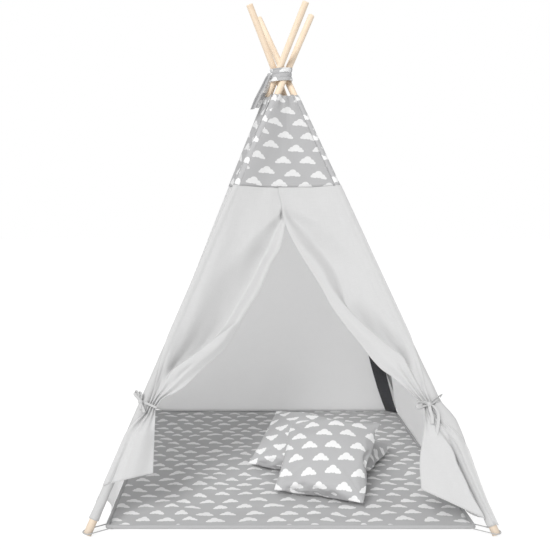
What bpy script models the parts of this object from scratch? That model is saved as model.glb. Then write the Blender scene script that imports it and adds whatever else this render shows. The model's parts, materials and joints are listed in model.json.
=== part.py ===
"""Kids teepee: four pine poles lashed where they cross, a sewn cover with a printed crown and tied-back
door curtains, a floor mat looped to the pole feet, and three loose cushions.

Metres, +Z up. The origin is on the floor under the crossing, and the door faces -Y.
"""

import math

import bmesh
import bpy
from mathutils import Matrix, Vector
from mathutils.bvhtree import BVHTree

# Frame: the four poles stand on a square and cross like a pinwheel, so that none runs into another
FOOT_SPACING = 1.19
CROSSING_HEIGHT = 1.43
CROSSING_OFFSET = 0.023
POLE_LENGTH = 1.93
POLE_DIAMETER = 0.024

# Clearances between neighbours
GAP = 0.0003
SLEEVE_EASE = 0.0004
LOOP_EASE = 0.0005
TIE_EASE = 0.0015
CUSHION_CLEARANCE = 0.0006
CUSHION_GAP = 0.0012
WELD_DISTANCE = 0.00001

# Cover: how far its rim and the crown's seam hang below the crossing, heights above the floor, cloth
# thickness and the tunnels that hold the poles
RIM_DROP = 0.095
SEAM_DROP = 0.423
RIM_HEIGHT = CROSSING_HEIGHT - RIM_DROP
SEAM_HEIGHT = CROSSING_HEIGHT - SEAM_DROP
HEM_HEIGHT = 0.015
SLEEVE_END_HEIGHT = 0.036
CLOTH = 0.0012
SLEEVE_WALL = 0.0016
PANEL_SAG = 0.022
CORNER_TAPE_WIDTH = 0.020
CORNER_TAPE_THICKNESS = 0.0010
CORNER_TAPE_DROP = 0.022

# Door curtains: the slit under the crown, the free edges, and where each is tied back
CURTAIN_OVERLAP = 0.010
OVERLAP_STEP = 0.0030
SLIT_LENGTH = 0.121
SLIT_HEIGHT = SEAM_HEIGHT - SLIT_LENGTH
TIE_HEIGHT = 0.349
TIE_BAND_HEIGHT = 0.011
GATHER_WIDTH = 0.027
GATHER_DEPTH = 0.0050
CURTAIN_FOLD = 0.011
SKIRT_FOLD = 0.012
LEFT_HEM_INNER_HEIGHT = 0.158
LEFT_HEM_OUTER_HEIGHT = 0.130
RIGHT_HEM_INNER_HEIGHT = 0.120
RIGHT_HEM_OUTER_HEIGHT = 0.045
# How far towards the tie, across and down, each free edge is drawn on its way from the slit
LEFT_EDGE_PULL_SHARES = (0.42, 0.914)
RIGHT_EDGE_PULL_SHARES = (0.506, 0.796)
# Where each hem's inner end lies between the door's middle and the pole
LEFT_HEM_INNER_SHARE = 0.775
RIGHT_HEM_INNER_SHARE = 0.712
# The part of the rows that the slit takes, and the pleats across a curtain
SLIT_ROWS_SHARE = 0.16
PLEATS = 2.25
PLEAT_CROWDING = 1.15

# Tie-backs
TIE_BAND_WALL = 0.0018
BOW_KNOT_RADIUS = 0.0085
BOW_LOOP_RADIUS = 0.0100
BOW_LOOP_CORD = 0.0024
BOW_LOOP_FORWARD = 0.0032
TAIL_WIDTH = 0.0100
TAIL_THICKNESS = 0.0018
LEFT_TAILS = (0.030, 0.024)
RIGHT_TAILS = (0.062, 0.100)
TAIL_SLANT_SHARES = (-0.35, 0.28)
BOW_LIFT_SHARES = (0.35, 0.75)
BOW_LOOP_SQUEEZE_SHARES = (1.25, 0.72, 1.3)
KNOT_SQUEEZE_SHARES = (1.0, 0.7, 1.0)
KNOT_ON_BAND_SHARE = 0.62

# Lashing round the crossing
LASH_HEIGHT = 0.046
LASH_WALL = 0.0025
LASH_TAIL_LENGTH = 0.150
LASH_TAIL_WIDTH = 0.030
LASH_TAIL_THICKNESS = 0.0025
LASH_TAIL_TOP_SHARE = 0.75

# Floor mat, set back from the pole feet, and the loops that hold its corners to them
MAT_SETBACK = 0.045
MAT_SIZE = FOOT_SPACING - 2 * MAT_SETBACK
MAT_THICKNESS = 0.012
MAT_EDGE_RADIUS = 0.003
BORDER_WIDTH = 0.012
LOOP_CORD_DIAMETER = 0.0032
LOOP_HEIGHT_AT_MAT = 0.006
LOOP_HEIGHT_AT_POLE = 0.014

# Cushions: sewn size, filled thickness, the seam's thickness and how far the sides draw in
CUSHION_SIZE = 0.280
CUSHION_SEAM = 0.005
CUSHION_DRAW_IN = 0.014
FRONT_CUSHION_THICKNESS = 0.108
LEFT_CUSHION_THICKNESS = 0.092
RIGHT_CUSHION_THICKNESS = 0.088
FRONT_CUSHION_PLACE = (0.098, -0.388)
LEFT_CUSHION_PLACE = (-0.002, -0.195)
RIGHT_CUSHION_PLACE = (0.166, -0.158)
FRONT_CUSHION_YAW = math.radians(-20.8)
LEFT_CUSHION_YAW = math.radians(-26.0)
RIGHT_CUSHION_YAW = math.radians(-29.0)
FRONT_CUSHION_LEAN = math.radians(31.5)
LEFT_CUSHION_LEAN = math.radians(25.6)
RIGHT_CUSHION_LEAN = 0
RIGHT_CUSHION_BELLY = 0.006
RIGHT_CUSHION_PRESSED_SHARE = 0.42

# Mesh fineness
POLE_SIDES = 20
SLEEVE_SIDES = 16
PANEL_COLUMNS = 8
PANEL_ROWS = 9
CROWN_COLUMNS = 6
CROWN_ROWS = 5
CURTAIN_COLUMNS = 18
CUSHION_CELLS = 12
LASH_SIDES = 24
LOOP_ARC_POINTS = 9

CORNERS = {"front_left": (-1, -1), "front_right": (1, -1), "back_right": (1, 1), "back_left": (-1, 1)}
FACES = {
    "front": ("front_left", "front_right"),
    "right": ("front_right", "back_right"),
    "back": ("back_right", "back_left"),
    "left": ("back_left", "front_left"),
}
UP = Vector((0, 0, 1))

# Colours of the finishes, linear
PINE = (0.80, 0.58, 0.36)
PRINTED_GREY = (0.42, 0.42, 0.43)
LIGHT_GREY = (0.66, 0.66, 0.66)
CHARCOAL = (0.06, 0.06, 0.065)
CORD_WHITE = (0.75, 0.75, 0.75)


def start_clean():
    """Remove whatever the file opened with, and make the collection for the model."""
    for old in list(bpy.data.objects):
        bpy.data.objects.remove(old, do_unlink=True)
    model = bpy.data.collections.new("kids_teepee")
    bpy.context.scene.collection.children.link(model)
    return model


MODEL = start_clean()


def finish(name, colour, roughness):
    """A plain finish of one colour."""
    material = bpy.data.materials.new(name)
    material.use_nodes = True
    shader = material.node_tree.nodes["Principled BSDF"]
    shader.inputs["Base Color"].default_value = (*colour, 1)
    shader.inputs["Roughness"].default_value = roughness
    shader.inputs["Metallic"].default_value = 0
    return material


def add(name, mesh, colour, roughness=0.85, place=None):
    """One sub-part: its object, its own finish and its place."""
    piece = bpy.data.objects.new(name, mesh)
    MODEL.objects.link(piece)
    mesh.materials.clear()
    mesh.materials.append(finish(name + "_finish", colour, roughness))
    if place is not None:
        piece.matrix_world = place
    return piece


def mesh_from(bm, name):
    """The finished mesh of a bmesh, which is then freed."""
    mesh = bpy.data.meshes.new(name)
    bm.to_mesh(mesh)
    bm.free()
    return mesh


def smooth(piece, angle=math.radians(40)):
    piece.data.shade_smooth()
    piece.data.set_sharp_from_angle(angle=angle)


def thicken(piece, thickness):
    """Give an open sheet its thickness, half to each side."""
    wall = piece.modifiers.new("cloth", "SOLIDIFY")
    wall.thickness = thickness
    wall.offset = 0
    return wall


def mix(a, b, share):
    return a + (b - a) * share


def ease(share):
    """0 to 1 with a soft start and end."""
    share = min(max(share, 0), 1)
    return share * share * (3 - 2 * share)


# Pole lines

def foot_point(corner):
    side, depth = CORNERS[corner]
    return Vector((side, depth, 0)) * (FOOT_SPACING / 2)


def crossing_point(corner):
    diagonal = Vector((*CORNERS[corner], 0)).normalized()
    sideways = Vector((-diagonal.y, diagonal.x, 0))
    return sideways * CROSSING_OFFSET + UP * CROSSING_HEIGHT


def pole_direction(corner):
    return (crossing_point(corner) - foot_point(corner)).normalized()


def pole_point(corner, height):
    """The point on a pole's axis at this height."""
    return foot_point(corner).lerp(crossing_point(corner), height / CROSSING_HEIGHT)


def pole_frame(corner, height):
    """Z runs up the pole, and X points level, away from the tent's middle."""
    along = pole_direction(corner)
    outward = foot_point(corner) - crossing_point(corner)
    outward.z = 0
    outward -= along * outward.dot(along)
    outward.normalize()
    frame = Matrix((outward, along.cross(outward), along)).transposed().to_4x4()
    frame.translation = pole_point(corner, height)
    return frame


def lean_cosine(corner):
    return pole_direction(corner).z


POLE_RADIUS = POLE_DIAMETER / 2
SLEEVE_BORE = POLE_RADIUS + SLEEVE_EASE
SLEEVE_RADIUS = SLEEVE_BORE + SLEEVE_WALL


def make_pole(corner):
    """A round pine pole, cut square at both ends. Its lower rim just reaches the floor."""
    lean = math.acos(lean_cosine(corner))
    start = POLE_RADIUS * math.sin(lean)
    bm = bmesh.new()
    bmesh.ops.create_cone(
        bm, cap_ends=True, segments=POLE_SIDES, radius1=POLE_RADIUS, radius2=POLE_RADIUS, depth=POLE_LENGTH
    )
    bmesh.ops.translate(bm, verts=bm.verts, vec=UP * (POLE_LENGTH / 2))
    pole = add("pole_" + corner, mesh_from(bm, "pole"), PINE, 0.55, pole_frame(corner, start))
    smooth(pole)


def ring_mesh(name, profile):
    """A closed profile in the XZ plane, listed down its outer side first, as edges for a Screw modifier."""
    mesh = bpy.data.meshes.new(name)
    edges = [(i, (i + 1) % len(profile)) for i in range(len(profile))]
    mesh.from_pydata([(radius, 0, height) for radius, height in profile], edges, [])
    return mesh


def turn(piece, steps):
    screw = piece.modifiers.new("turned", "SCREW")
    screw.axis = "Z"
    screw.angle = math.tau
    screw.steps = steps
    screw.render_steps = steps
    screw.use_merge_vertices = True
    screw.merge_threshold = WELD_DISTANCE
    screw.use_smooth_shade = True


def make_sleeve(name, corner, low, high, colour):
    """The sewn tunnel that a pole runs in, between two heights."""
    length = (high - low) / lean_cosine(corner)
    profile = [(SLEEVE_RADIUS, length), (SLEEVE_RADIUS, 0), (SLEEVE_BORE, 0), (SLEEVE_BORE, length)]
    sleeve = add(name, ring_mesh(name, profile), colour, 0.9, pole_frame(corner, low))
    turn(sleeve, SLEEVE_SIDES)


# Cover panels

def edge_inset(first, second, height):
    """How far a panel's edge stands from the pole's axis, measured along the level line to the next pole."""
    across = pole_point(second, height) - pole_point(first, height)
    along = pole_direction(first)
    sine = along.cross(across.normalized()).length
    return (SLEEVE_RADIUS + GAP) / sine, across


def panel_point(first, second, across_share, height):
    """A point of the taut cloth between two poles, sagging a little towards the middle of the tent."""
    inset, across = edge_inset(first, second, height)
    run = across.length - 2 * inset
    point = pole_point(first, height) + across.normalized() * (inset + run * across_share)
    inward = UP.cross(across).normalized()
    depth = PANEL_SAG * math.sin(math.pi * across_share) * (1 - height / CROSSING_HEIGHT)
    return point + inward * depth


def sheet_mesh(name, columns, rows, place):
    """A grid whose points are placed by a rule from their two shares, across and down."""
    bm = bmesh.new()
    bmesh.ops.create_grid(bm, x_segments=columns, y_segments=rows, size=1)
    for point in bm.verts:
        point.co = place((point.co.x + 1) / 2, (1 - point.co.y) / 2)
    return mesh_from(bm, name)


def make_panel(name, face, top, bottom, columns, rows, colour):
    first, second = FACES[face]

    def place(across, down):
        return panel_point(first, second, across, mix(top, bottom, down))

    panel = add(name, sheet_mesh(name, columns, rows, place), colour, 0.9)
    thicken(panel, CLOTH)
    smooth(panel)


def make_corner_tape(corner):
    """The dark tape that covers the seam on the inner side of a back corner."""
    length = (SEAM_HEIGHT - CORNER_TAPE_DROP - SLEEVE_END_HEIGHT) / lean_cosine(corner)
    bm = bmesh.new()
    bmesh.ops.create_cube(bm, size=1)
    bmesh.ops.scale(bm, verts=bm.verts, vec=(CORNER_TAPE_THICKNESS, CORNER_TAPE_WIDTH, length))
    reach = SLEEVE_RADIUS + GAP + CORNER_TAPE_THICKNESS / 2
    bmesh.ops.translate(bm, verts=bm.verts, vec=Vector((-reach, 0, length / 2)))
    add("corner_tape_" + corner, mesh_from(bm, "corner_tape"), CHARCOAL, 0.9,
        pole_frame(corner, SLEEVE_END_HEIGHT))


# Door curtains

def front_point(x, height):
    """The point of the front face at this x and height."""
    left = pole_point("front_left", height)
    right = pole_point("front_right", height)
    return left.lerp(right, (x - left.x) / (right.x - left.x))


FRONT_NORMAL = Vector((0, -CROSSING_HEIGHT, FOOT_SPACING / 2)).normalized()


def curve_point(start, pull, end, share):
    """A point on the smooth curve from start to end that is drawn towards pull."""
    a, b, c = Vector(start), Vector(pull), Vector(end)
    return a * (1 - share) ** 2 + b * (2 * share * (1 - share)) + c * share**2


class Curtain:
    """One door curtain, from the crown's seam down to its hem, drawn in at its tie."""

    def __init__(self, side):
        self.side = side
        self.left = side == "left"
        self.corner = "front_" + side
        self.sign = -1 if self.left else 1
        self.pull_shares = LEFT_EDGE_PULL_SHARES if self.left else RIGHT_EDGE_PULL_SHARES
        self.hem_inner = LEFT_HEM_INNER_HEIGHT if self.left else RIGHT_HEM_INNER_HEIGHT
        self.hem_inner_share = LEFT_HEM_INNER_SHARE if self.left else RIGHT_HEM_INNER_SHARE
        self.hem_outer = LEFT_HEM_OUTER_HEIGHT if self.left else RIGHT_HEM_OUTER_HEIGHT
        self.tie_top = TIE_HEIGHT + TIE_BAND_HEIGHT / 2
        self.tie_bottom = TIE_HEIGHT - TIE_BAND_HEIGHT / 2

    def sleeve_edge(self, height):
        """Where the curtain is sewn to the pole's tunnel."""
        other = "front_right" if self.left else "front_left"
        inset, across = edge_inset(self.corner, other, height)
        return pole_point(self.corner, height) + across.normalized() * inset

    def held_edge(self, height):
        """Where the gathered cloth meets the tunnel, square to the pole, as the tie band lies."""
        across = tie_frame(self.side).col[0].to_3d()
        return pole_point(self.corner, height) + across * (SLEEVE_RADIUS + GAP)

    def gathered_edge(self, height):
        across = tie_frame(self.side).col[0].to_3d()
        return self.held_edge(height) + across * GATHER_WIDTH

    def free_edge(self, share):
        """The free edge from the crown's seam, down the slit, and in a curve to the tie."""
        tied = self.gathered_edge(self.tie_top)
        if share < SLIT_ROWS_SHARE:
            down = share / SLIT_ROWS_SHARE
            x = -self.sign * CURTAIN_OVERLAP * (1 - ease(down))
            return front_point(x, SEAM_HEIGHT - SLIT_LENGTH * down)
        across_share, down_share = self.pull_shares
        pull = (tied.x * across_share, mix(SLIT_HEIGHT, tied.z, down_share))
        down = (share - SLIT_ROWS_SHARE) / (1 - SLIT_ROWS_SHARE)
        x, height = curve_point((0, SLIT_HEIGHT), pull, (tied.x, tied.z), down)
        return front_point(x, height)

    def rows(self):
        """The sewn end, the free end, the fold depth and the overlap step of each row, top to bottom."""
        upper, held, skirt = 13, 2, 5
        out = []
        for i in range(upper):
            share = i / upper
            height = mix(SEAM_HEIGHT, self.tie_top, share)
            sewn = self.sleeve_edge(height).lerp(self.held_edge(height), ease(share))
            fold = mix(0, CURTAIN_FOLD, ease(share * 1.6)) if share < 0.8 else CURTAIN_FOLD
            out.append((sewn, self.free_edge(share), mix(fold, GATHER_DEPTH, ease(share)), share))
        for i in range(held + 1):
            height = mix(self.tie_top, self.tie_bottom, i / held)
            out.append((self.held_edge(height), self.gathered_edge(height), GATHER_DEPTH, 1))
        knot = self.gathered_edge(self.tie_bottom)
        hem_x = pole_point(self.corner, self.hem_inner).x * self.hem_inner_share
        for i in range(1, skirt + 1):
            share = i / skirt
            height = mix(self.tie_bottom, self.hem_outer, share)
            sewn = self.held_edge(height).lerp(self.sleeve_edge(height), share)
            x = mix(knot.x, hem_x, ease(share * 1.3))
            free = front_point(x, mix(knot.z, self.hem_inner, share))
            out.append((sewn, free, mix(GATHER_DEPTH, SKIRT_FOLD, share), 1))
        return out

    def place(self, rows, across, down):
        """A point of the curtain: between its row's two ends, moved out or in by the folds."""
        sewn, free, depth, share = rows[round(down * (len(rows) - 1))]
        fold = math.sin(math.tau * PLEATS * across**PLEAT_CROWDING) * ease(across * 5)
        step = -OVERLAP_STEP * (1 - ease((share - 0.2) * 3)) * ease(across * 3) if self.left else 0
        return sewn.lerp(free, across) + FRONT_NORMAL * (depth * fold + step)


def make_curtain(side):
    curtain = Curtain(side)
    rows = curtain.rows()

    def place(across, down):
        return curtain.place(rows, across, down)

    piece = add("door_" + side, sheet_mesh("door", CURTAIN_COLUMNS, len(rows) - 1, place), LIGHT_GREY, 0.9)
    thicken(piece, CLOTH)
    smooth(piece, math.radians(70))


# Tie-backs

def band_path(big, small, distance, start, points=10):
    """Round a big circle at the origin from the angle start, round a small one beside it on X, and back."""
    slope = math.acos((big - small) / distance)
    out = []
    for i in range(points + 1):
        angle = mix(start, math.tau - slope, i / points)
        out.append((big * math.cos(angle), big * math.sin(angle)))
    for i in range(points + 1):
        angle = mix(-slope, slope, i / points)
        out.append((distance + small * math.cos(angle), small * math.sin(angle)))
    out.append((big * math.cos(slope), big * math.sin(slope)))
    return out


def tie_frame(side):
    """At the tie, Z runs up the pole and X points level across the front, towards the doorway."""
    corner = "front_" + side
    along = pole_direction(corner)
    across = Vector((1 if side == "left" else -1, 0, 0))
    across -= along * across.dot(along)
    across.normalize()
    frame = Matrix((across, along.cross(across), along)).transposed().to_4x4()
    frame.translation = pole_point(corner, TIE_HEIGHT)
    return frame


def side_panel_angle(side):
    """The angle in the tie's frame at which the side panel leaves the pole."""
    to_back = pole_point("back_" + side, TIE_HEIGHT) - pole_point("front_" + side, TIE_HEIGHT)
    local = tie_frame(side).to_3x3().inverted() @ to_back
    return math.atan2(abs(local.y), local.x)


TIE_BIG = SLEEVE_RADIUS + TIE_EASE
TIE_SMALL = GATHER_DEPTH + CLOTH + TIE_EASE
TIE_REACH = SLEEVE_RADIUS + GATHER_WIDTH - GATHER_DEPTH


def flat_outline(name, outlines, thickness, colour, place):
    """A flat piece cut to one or more closed outlines, with its thickness on both sides of the plane."""
    outline = bpy.data.curves.new(name, "CURVE")
    outline.dimensions = "2D"
    outline.fill_mode = "BOTH"
    outline.extrude = thickness / 2
    for points in outlines:
        spline = outline.splines.new("POLY")
        spline.points.add(len(points) - 1)
        for point, (x, y) in zip(spline.points, points):
            point.co = (x, y, 0, 1)
        spline.use_cyclic_u = True
    piece = bpy.data.objects.new(name, outline)
    MODEL.objects.link(piece)
    outline.materials.append(finish(name + "_finish", colour, 0.9))
    piece.matrix_world = place
    return piece


def make_tie_band(side):
    """The ribbon sewn into the corner seam, which holds the gathered curtain against its pole."""
    seam = side_panel_angle(side) + math.asin((CLOTH / 2 + TIE_EASE) / TIE_BIG)
    inner = band_path(TIE_BIG, TIE_SMALL, TIE_REACH, seam)
    outer = band_path(TIE_BIG + TIE_BAND_WALL, TIE_SMALL + TIE_BAND_WALL, TIE_REACH, seam)
    flip = 1 if side == "left" else -1
    strip = [(x, y * flip) for x, y in outer + inner[::-1]]
    flat_outline("tie_band_" + side, [strip], TIE_BAND_HEIGHT - GAP, LIGHT_GREY, tie_frame(side))


def bar_between(name, start, end, width, thickness):
    """A flat strip from one point to another, whose broad side faces the door."""
    along = end - start
    along_unit = along.normalized()
    flat = along_unit.cross(FRONT_NORMAL).normalized()
    frame = Matrix((flat, along_unit.cross(flat), along_unit)).transposed().to_4x4()
    bm = bmesh.new()
    bmesh.ops.create_cube(bm, size=1)
    bmesh.ops.scale(bm, verts=bm.verts, vec=(width, thickness, along.length))
    bmesh.ops.translate(bm, verts=bm.verts, vec=UP * (along.length / 2))
    bmesh.ops.transform(bm, verts=bm.verts, matrix=frame)
    bmesh.ops.translate(bm, verts=bm.verts, vec=start)
    return mesh_from(bm, name)


def join_parts(name, meshes, colour):
    """One body from overlapping meshes, by Boolean unions whose results are kept as a plain mesh."""
    whole = add(name, meshes[0], colour)
    helpers = []
    for i, mesh in enumerate(meshes[1:]):
        helper = bpy.data.objects.new(name + "_joined_" + str(i), mesh)
        MODEL.objects.link(helper)
        helpers.append(helper)
        union = whole.modifiers.new("union", "BOOLEAN")
        union.operation = "UNION"
        union.solver = "EXACT"
        union.object = helper
    bpy.context.view_layer.update()
    graph = bpy.context.evaluated_depsgraph_get()
    joined = bpy.data.meshes.new_from_object(whole.evaluated_get(graph))
    whole.modifiers.clear()
    whole.data = joined
    for helper in helpers:
        bpy.data.objects.remove(helper, do_unlink=True)
    return whole


def knot_mesh(centre, radius):
    bm = bmesh.new()
    bmesh.ops.create_uvsphere(bm, u_segments=12, v_segments=8, radius=radius)
    bmesh.ops.scale(bm, verts=bm.verts, vec=KNOT_SQUEEZE_SHARES)
    bmesh.ops.translate(bm, verts=bm.verts, vec=centre)
    return mesh_from(bm, "knot")


def loop_mesh(centre, tilt):
    """One eye of the bow: a flattened ring that stands in the plane of the front face."""
    bpy.ops.mesh.primitive_torus_add(
        major_radius=BOW_LOOP_RADIUS, minor_radius=BOW_LOOP_CORD, major_segments=14, minor_segments=6
    )
    ring = bpy.context.object
    mesh = ring.data
    bpy.data.objects.remove(ring, do_unlink=True)
    facing = FRONT_NORMAL.to_track_quat("Z", "Y").to_matrix().to_4x4()
    squeeze = Matrix.Diagonal((*BOW_LOOP_SQUEEZE_SHARES, 1))
    mesh.transform(Matrix.Translation(centre) @ facing @ Matrix.Rotation(tilt, 4, "Z") @ squeeze)
    return mesh


def knot_centre(side):
    """The knot's middle, where its flattened ball all but touches the front of the tie band."""
    frame = tie_frame(side).to_3x3()
    across = frame.col[0]
    forward = frame.col[1] if frame.col[1].dot(FRONT_NORMAL) > 0 else -frame.col[1]
    slope = math.acos((TIE_BIG - TIE_SMALL) / TIE_REACH)
    normal = across * math.cos(slope) + forward * math.sin(slope)
    stand_off = mix(TIE_BIG, TIE_SMALL, KNOT_ON_BAND_SHARE) + TIE_BAND_WALL + GAP
    ball = Vector(share * part for share, part in zip(KNOT_SQUEEZE_SHARES, normal)) * BOW_KNOT_RADIUS
    point = pole_point("front_" + side, TIE_HEIGHT) + across * (TIE_REACH * KNOT_ON_BAND_SHARE)
    return point + normal * (stand_off + ball.length)


def make_bow(side):
    """The knot in front of the tie band, with its two eyes and two tails."""
    sign = 1 if side == "left" else -1
    middle = knot_centre(side)
    reach = BOW_KNOT_RADIUS + BOW_LOOP_RADIUS * 0.85
    across = Vector((1, 0, 0))
    rise = FRONT_NORMAL.cross(across)
    rise = rise if rise.z > 0 else -rise
    meshes = [knot_mesh(middle, BOW_KNOT_RADIUS)]
    near_lift, far_lift = BOW_LIFT_SHARES
    for turn_sign in (-1, 1):
        lift = near_lift if turn_sign == sign else far_lift
        centre = middle + across * (turn_sign * reach) + rise * (reach * lift)
        centre += FRONT_NORMAL * BOW_LOOP_FORWARD
        meshes.append(loop_mesh(centre, turn_sign * math.atan(lift)))
    lengths = LEFT_TAILS if side == "left" else RIGHT_TAILS
    for length, slant in zip(lengths, TAIL_SLANT_SHARES):
        end = middle - rise * length + across * (slant * length * sign)
        meshes.append(bar_between("tail", middle, end, TAIL_WIDTH, TAIL_THICKNESS))
    bow = join_parts("tie_bow_" + side, meshes, LIGHT_GREY)
    smooth(bow)


# Lashing

def lash_inner_radius(offset):
    """The circle that clears all four poles at this height above or below the crossing."""
    lean = math.acos(lean_cosine("front_left"))
    spread = math.tan(lean) * offset
    reach = POLE_RADIUS / math.cos(lean)
    rim = []
    for i in range(POLE_SIDES * 2):
        angle = math.pi * i / POLE_SIDES
        along, aside = spread + reach * math.cos(angle), CROSSING_OFFSET + POLE_RADIUS * math.sin(angle)
        rim.append(math.hypot(along, aside))
    return (max(rim) + GAP) / math.cos(math.pi / LASH_SIDES)


def make_lash_band():
    """The cloth band wound round the crossing, narrowest where the poles are closest."""
    half = LASH_HEIGHT / 2
    inner = [(lash_inner_radius(z), z) for z in (-half, -half / 2, 0, half / 2, half)]
    outer = [(radius + LASH_WALL, z) for radius, z in reversed(inner)]
    band = add("lash_band", ring_mesh("lash_band", outer + inner), PRINTED_GREY, 0.9,
               Matrix.Translation(UP * CROSSING_HEIGHT))
    turn(band, LASH_SIDES)


def make_lash_tail():
    """The free end of the lashing, which hangs over the left side of the crown."""
    start_radius = lash_inner_radius(LASH_HEIGHT / 6) + LASH_WALL + GAP + LASH_TAIL_THICKNESS / 2
    low_face = pole_point("back_left", CROSSING_HEIGHT - LASH_TAIL_LENGTH)
    end_radius = -low_face.x + SLEEVE_RADIUS + LASH_TAIL_THICKNESS * 2
    top = CROSSING_HEIGHT + LASH_HEIGHT / 6

    def place(across, down):
        belly = LASH_TAIL_THICKNESS * 2 * math.sin(math.pi * down)
        out = mix(start_radius, end_radius, ease(down)) + belly
        narrow = mix(LASH_TAIL_TOP_SHARE, 1, down)
        return Vector((-out, (across - 0.5) * LASH_TAIL_WIDTH * narrow, top - LASH_TAIL_LENGTH * down))

    tail = add("lash_tail", sheet_mesh("lash_tail", 3, 8, place), PRINTED_GREY, 0.9)
    thicken(tail, LASH_TAIL_THICKNESS)
    smooth(tail)


# Floor mat

def make_mat():
    """The padded mat, a flat slab with softened upper edges, inside its binding."""
    side = MAT_SIZE - 2 * (BORDER_WIDTH + GAP)
    bm = bmesh.new()
    bmesh.ops.create_cube(bm, size=1)
    bmesh.ops.scale(bm, verts=bm.verts, vec=(side, side, MAT_THICKNESS))
    bmesh.ops.translate(bm, verts=bm.verts, vec=UP * (MAT_THICKNESS / 2))
    rim = [e for e in bm.edges if all(v.co.z > MAT_THICKNESS / 2 for v in e.verts)]
    bmesh.ops.bevel(bm, geom=rim, offset=MAT_EDGE_RADIUS, affect="EDGES", segments=2, profile=0.5, material=-1)
    add("mat", mesh_from(bm, "mat"), PRINTED_GREY, 0.9)


def square_outline(half):
    return [(-half, -half), (half, -half), (half, half), (-half, half)]


def make_mat_border():
    """The binding sewn round the mat's edge."""
    outlines = [square_outline(MAT_SIZE / 2), square_outline(MAT_SIZE / 2 - BORDER_WIDTH)]
    middle = Matrix.Translation(UP * (MAT_THICKNESS / 2))
    flat_outline("mat_border", outlines, MAT_THICKNESS, PRINTED_GREY, middle)


def make_corner_loop(corner):
    """An elastic loop from the mat's corner, round the pole's foot and back."""
    diagonal = Vector((*CORNERS[corner], 0)).normalized()
    sideways = Vector((-diagonal.y, diagonal.x, 0))
    cord = LOOP_CORD_DIAMETER / 2
    bend = POLE_RADIUS / lean_cosine(corner) + LOOP_EASE + cord
    pole = pole_point(corner, LOOP_HEIGHT_AT_POLE)
    mat_corner = MAT_SIZE / 2 * math.sqrt(2)
    start = mat_corner - bend + cord + GAP
    points = [diagonal * start + sideways * bend + UP * LOOP_HEIGHT_AT_MAT]
    for i in range(LOOP_ARC_POINTS):
        angle = math.pi / 2 - math.pi * i / (LOOP_ARC_POINTS - 1)
        points.append(pole + diagonal * (bend * math.cos(angle)) + sideways * (bend * math.sin(angle)))
    points.append(diagonal * start - sideways * bend + UP * LOOP_HEIGHT_AT_MAT)
    path = bpy.data.curves.new("corner_loop", "CURVE")
    path.dimensions = "3D"
    path.bevel_depth = cord
    path.bevel_resolution = 1
    path.use_fill_caps = True
    spline = path.splines.new("POLY")
    spline.points.add(len(points) - 1)
    for knot, point in zip(spline.points, points):
        knot.co = (*point, 1)
    loop = bpy.data.objects.new("corner_loop_" + corner, path)
    MODEL.objects.link(loop)
    path.materials.append(finish("corner_loop_finish_" + corner, CORD_WHITE, 0.8))


# Cushions

def cushion_mesh(thickness, pressed_share):
    """A filled square: crowned above and below, thin at the seam, with sides drawn in between its corners.

    pressed_share is the share of its thickness that the cushion keeps along its left side.
    """
    bm = bmesh.new()
    bmesh.ops.create_cube(bm, size=2)
    level = [e for e in bm.edges if abs(e.verts[0].co.z - e.verts[1].co.z) < 1]
    bmesh.ops.subdivide_edges(bm, edges=level, cuts=CUSHION_CELLS - 1, use_grid_fill=True)
    half = CUSHION_SIZE / 2
    for point in bm.verts:
        x = math.sin(point.co.x * math.pi / 2)
        y = math.sin(point.co.y * math.pi / 2)
        crown = math.sqrt(max(0, (1 - x * x) * (1 - y * y)))
        swell = (thickness - CUSHION_SEAM) / 2 * crown * mix(pressed_share, 1, (x + 1) / 2)
        side = 1 if point.co.z > 0 else -1
        draw = CUSHION_DRAW_IN
        point.co.x = x * (half - draw * (1 - y * y))
        point.co.y = y * (half - draw * (1 - x * x))
        point.co.z = side * (CUSHION_SEAM / 2 + swell)
    return mesh_from(bm, "cushion")


def world_points(piece):
    return [piece.matrix_world @ point.co for point in piece.data.vertices]


def move(piece, by):
    piece.matrix_world = Matrix.Translation(by) @ piece.matrix_world


def make_cushion(name, place, yaw, lean, thickness, pressed_share=1.0, lie_flat=False):
    """A cushion with its lower edge over place, turned by yaw, leaning back by lean, and set on the mat."""
    mesh = cushion_mesh(thickness, pressed_share)
    if lie_flat:
        for point in mesh.vertices:
            swell = abs(point.co.z) - CUSHION_SEAM / 2
            under = min(swell, RIGHT_CUSHION_BELLY)
            point.co.z += swell - under
    turned = Matrix.Rotation(yaw, 4, "Z") @ Matrix.Rotation(lean, 4, "X")
    centred = Matrix.Translation((0, CUSHION_SIZE / 2, 0))
    cushion = add(name, mesh, PRINTED_GREY, 0.9, Matrix.Translation((*place, 0)) @ turned @ centred)
    smooth(cushion, math.radians(60))
    lowest = min(point.z for point in world_points(cushion))
    move(cushion, UP * (MAT_THICKNESS + CUSHION_CLEARANCE - lowest))
    return cushion


def cushion_tree(cushion):
    faces = [tuple(face.vertices) for face in cushion.data.polygons]
    return BVHTree.FromPolygons(world_points(cushion), faces)


def lean_against(cushion, support, yaw):
    """Slide a cushion over the mat, the way it leans, until it all but touches the one behind it."""
    direction = Matrix.Rotation(yaw, 3, "Z") @ Vector((0, 1, 0))
    move(cushion, -direction * CUSHION_SIZE)
    travels = []
    for points, tree, way in (
        (world_points(cushion), cushion_tree(support), direction),
        (world_points(support), cushion_tree(cushion), -direction),
    ):
        for point in points:
            hit, _, _, travel = tree.ray_cast(point, way)
            if hit is not None:
                travels.append(travel)
    move(cushion, direction * (min(travels) - CUSHION_GAP))


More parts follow.
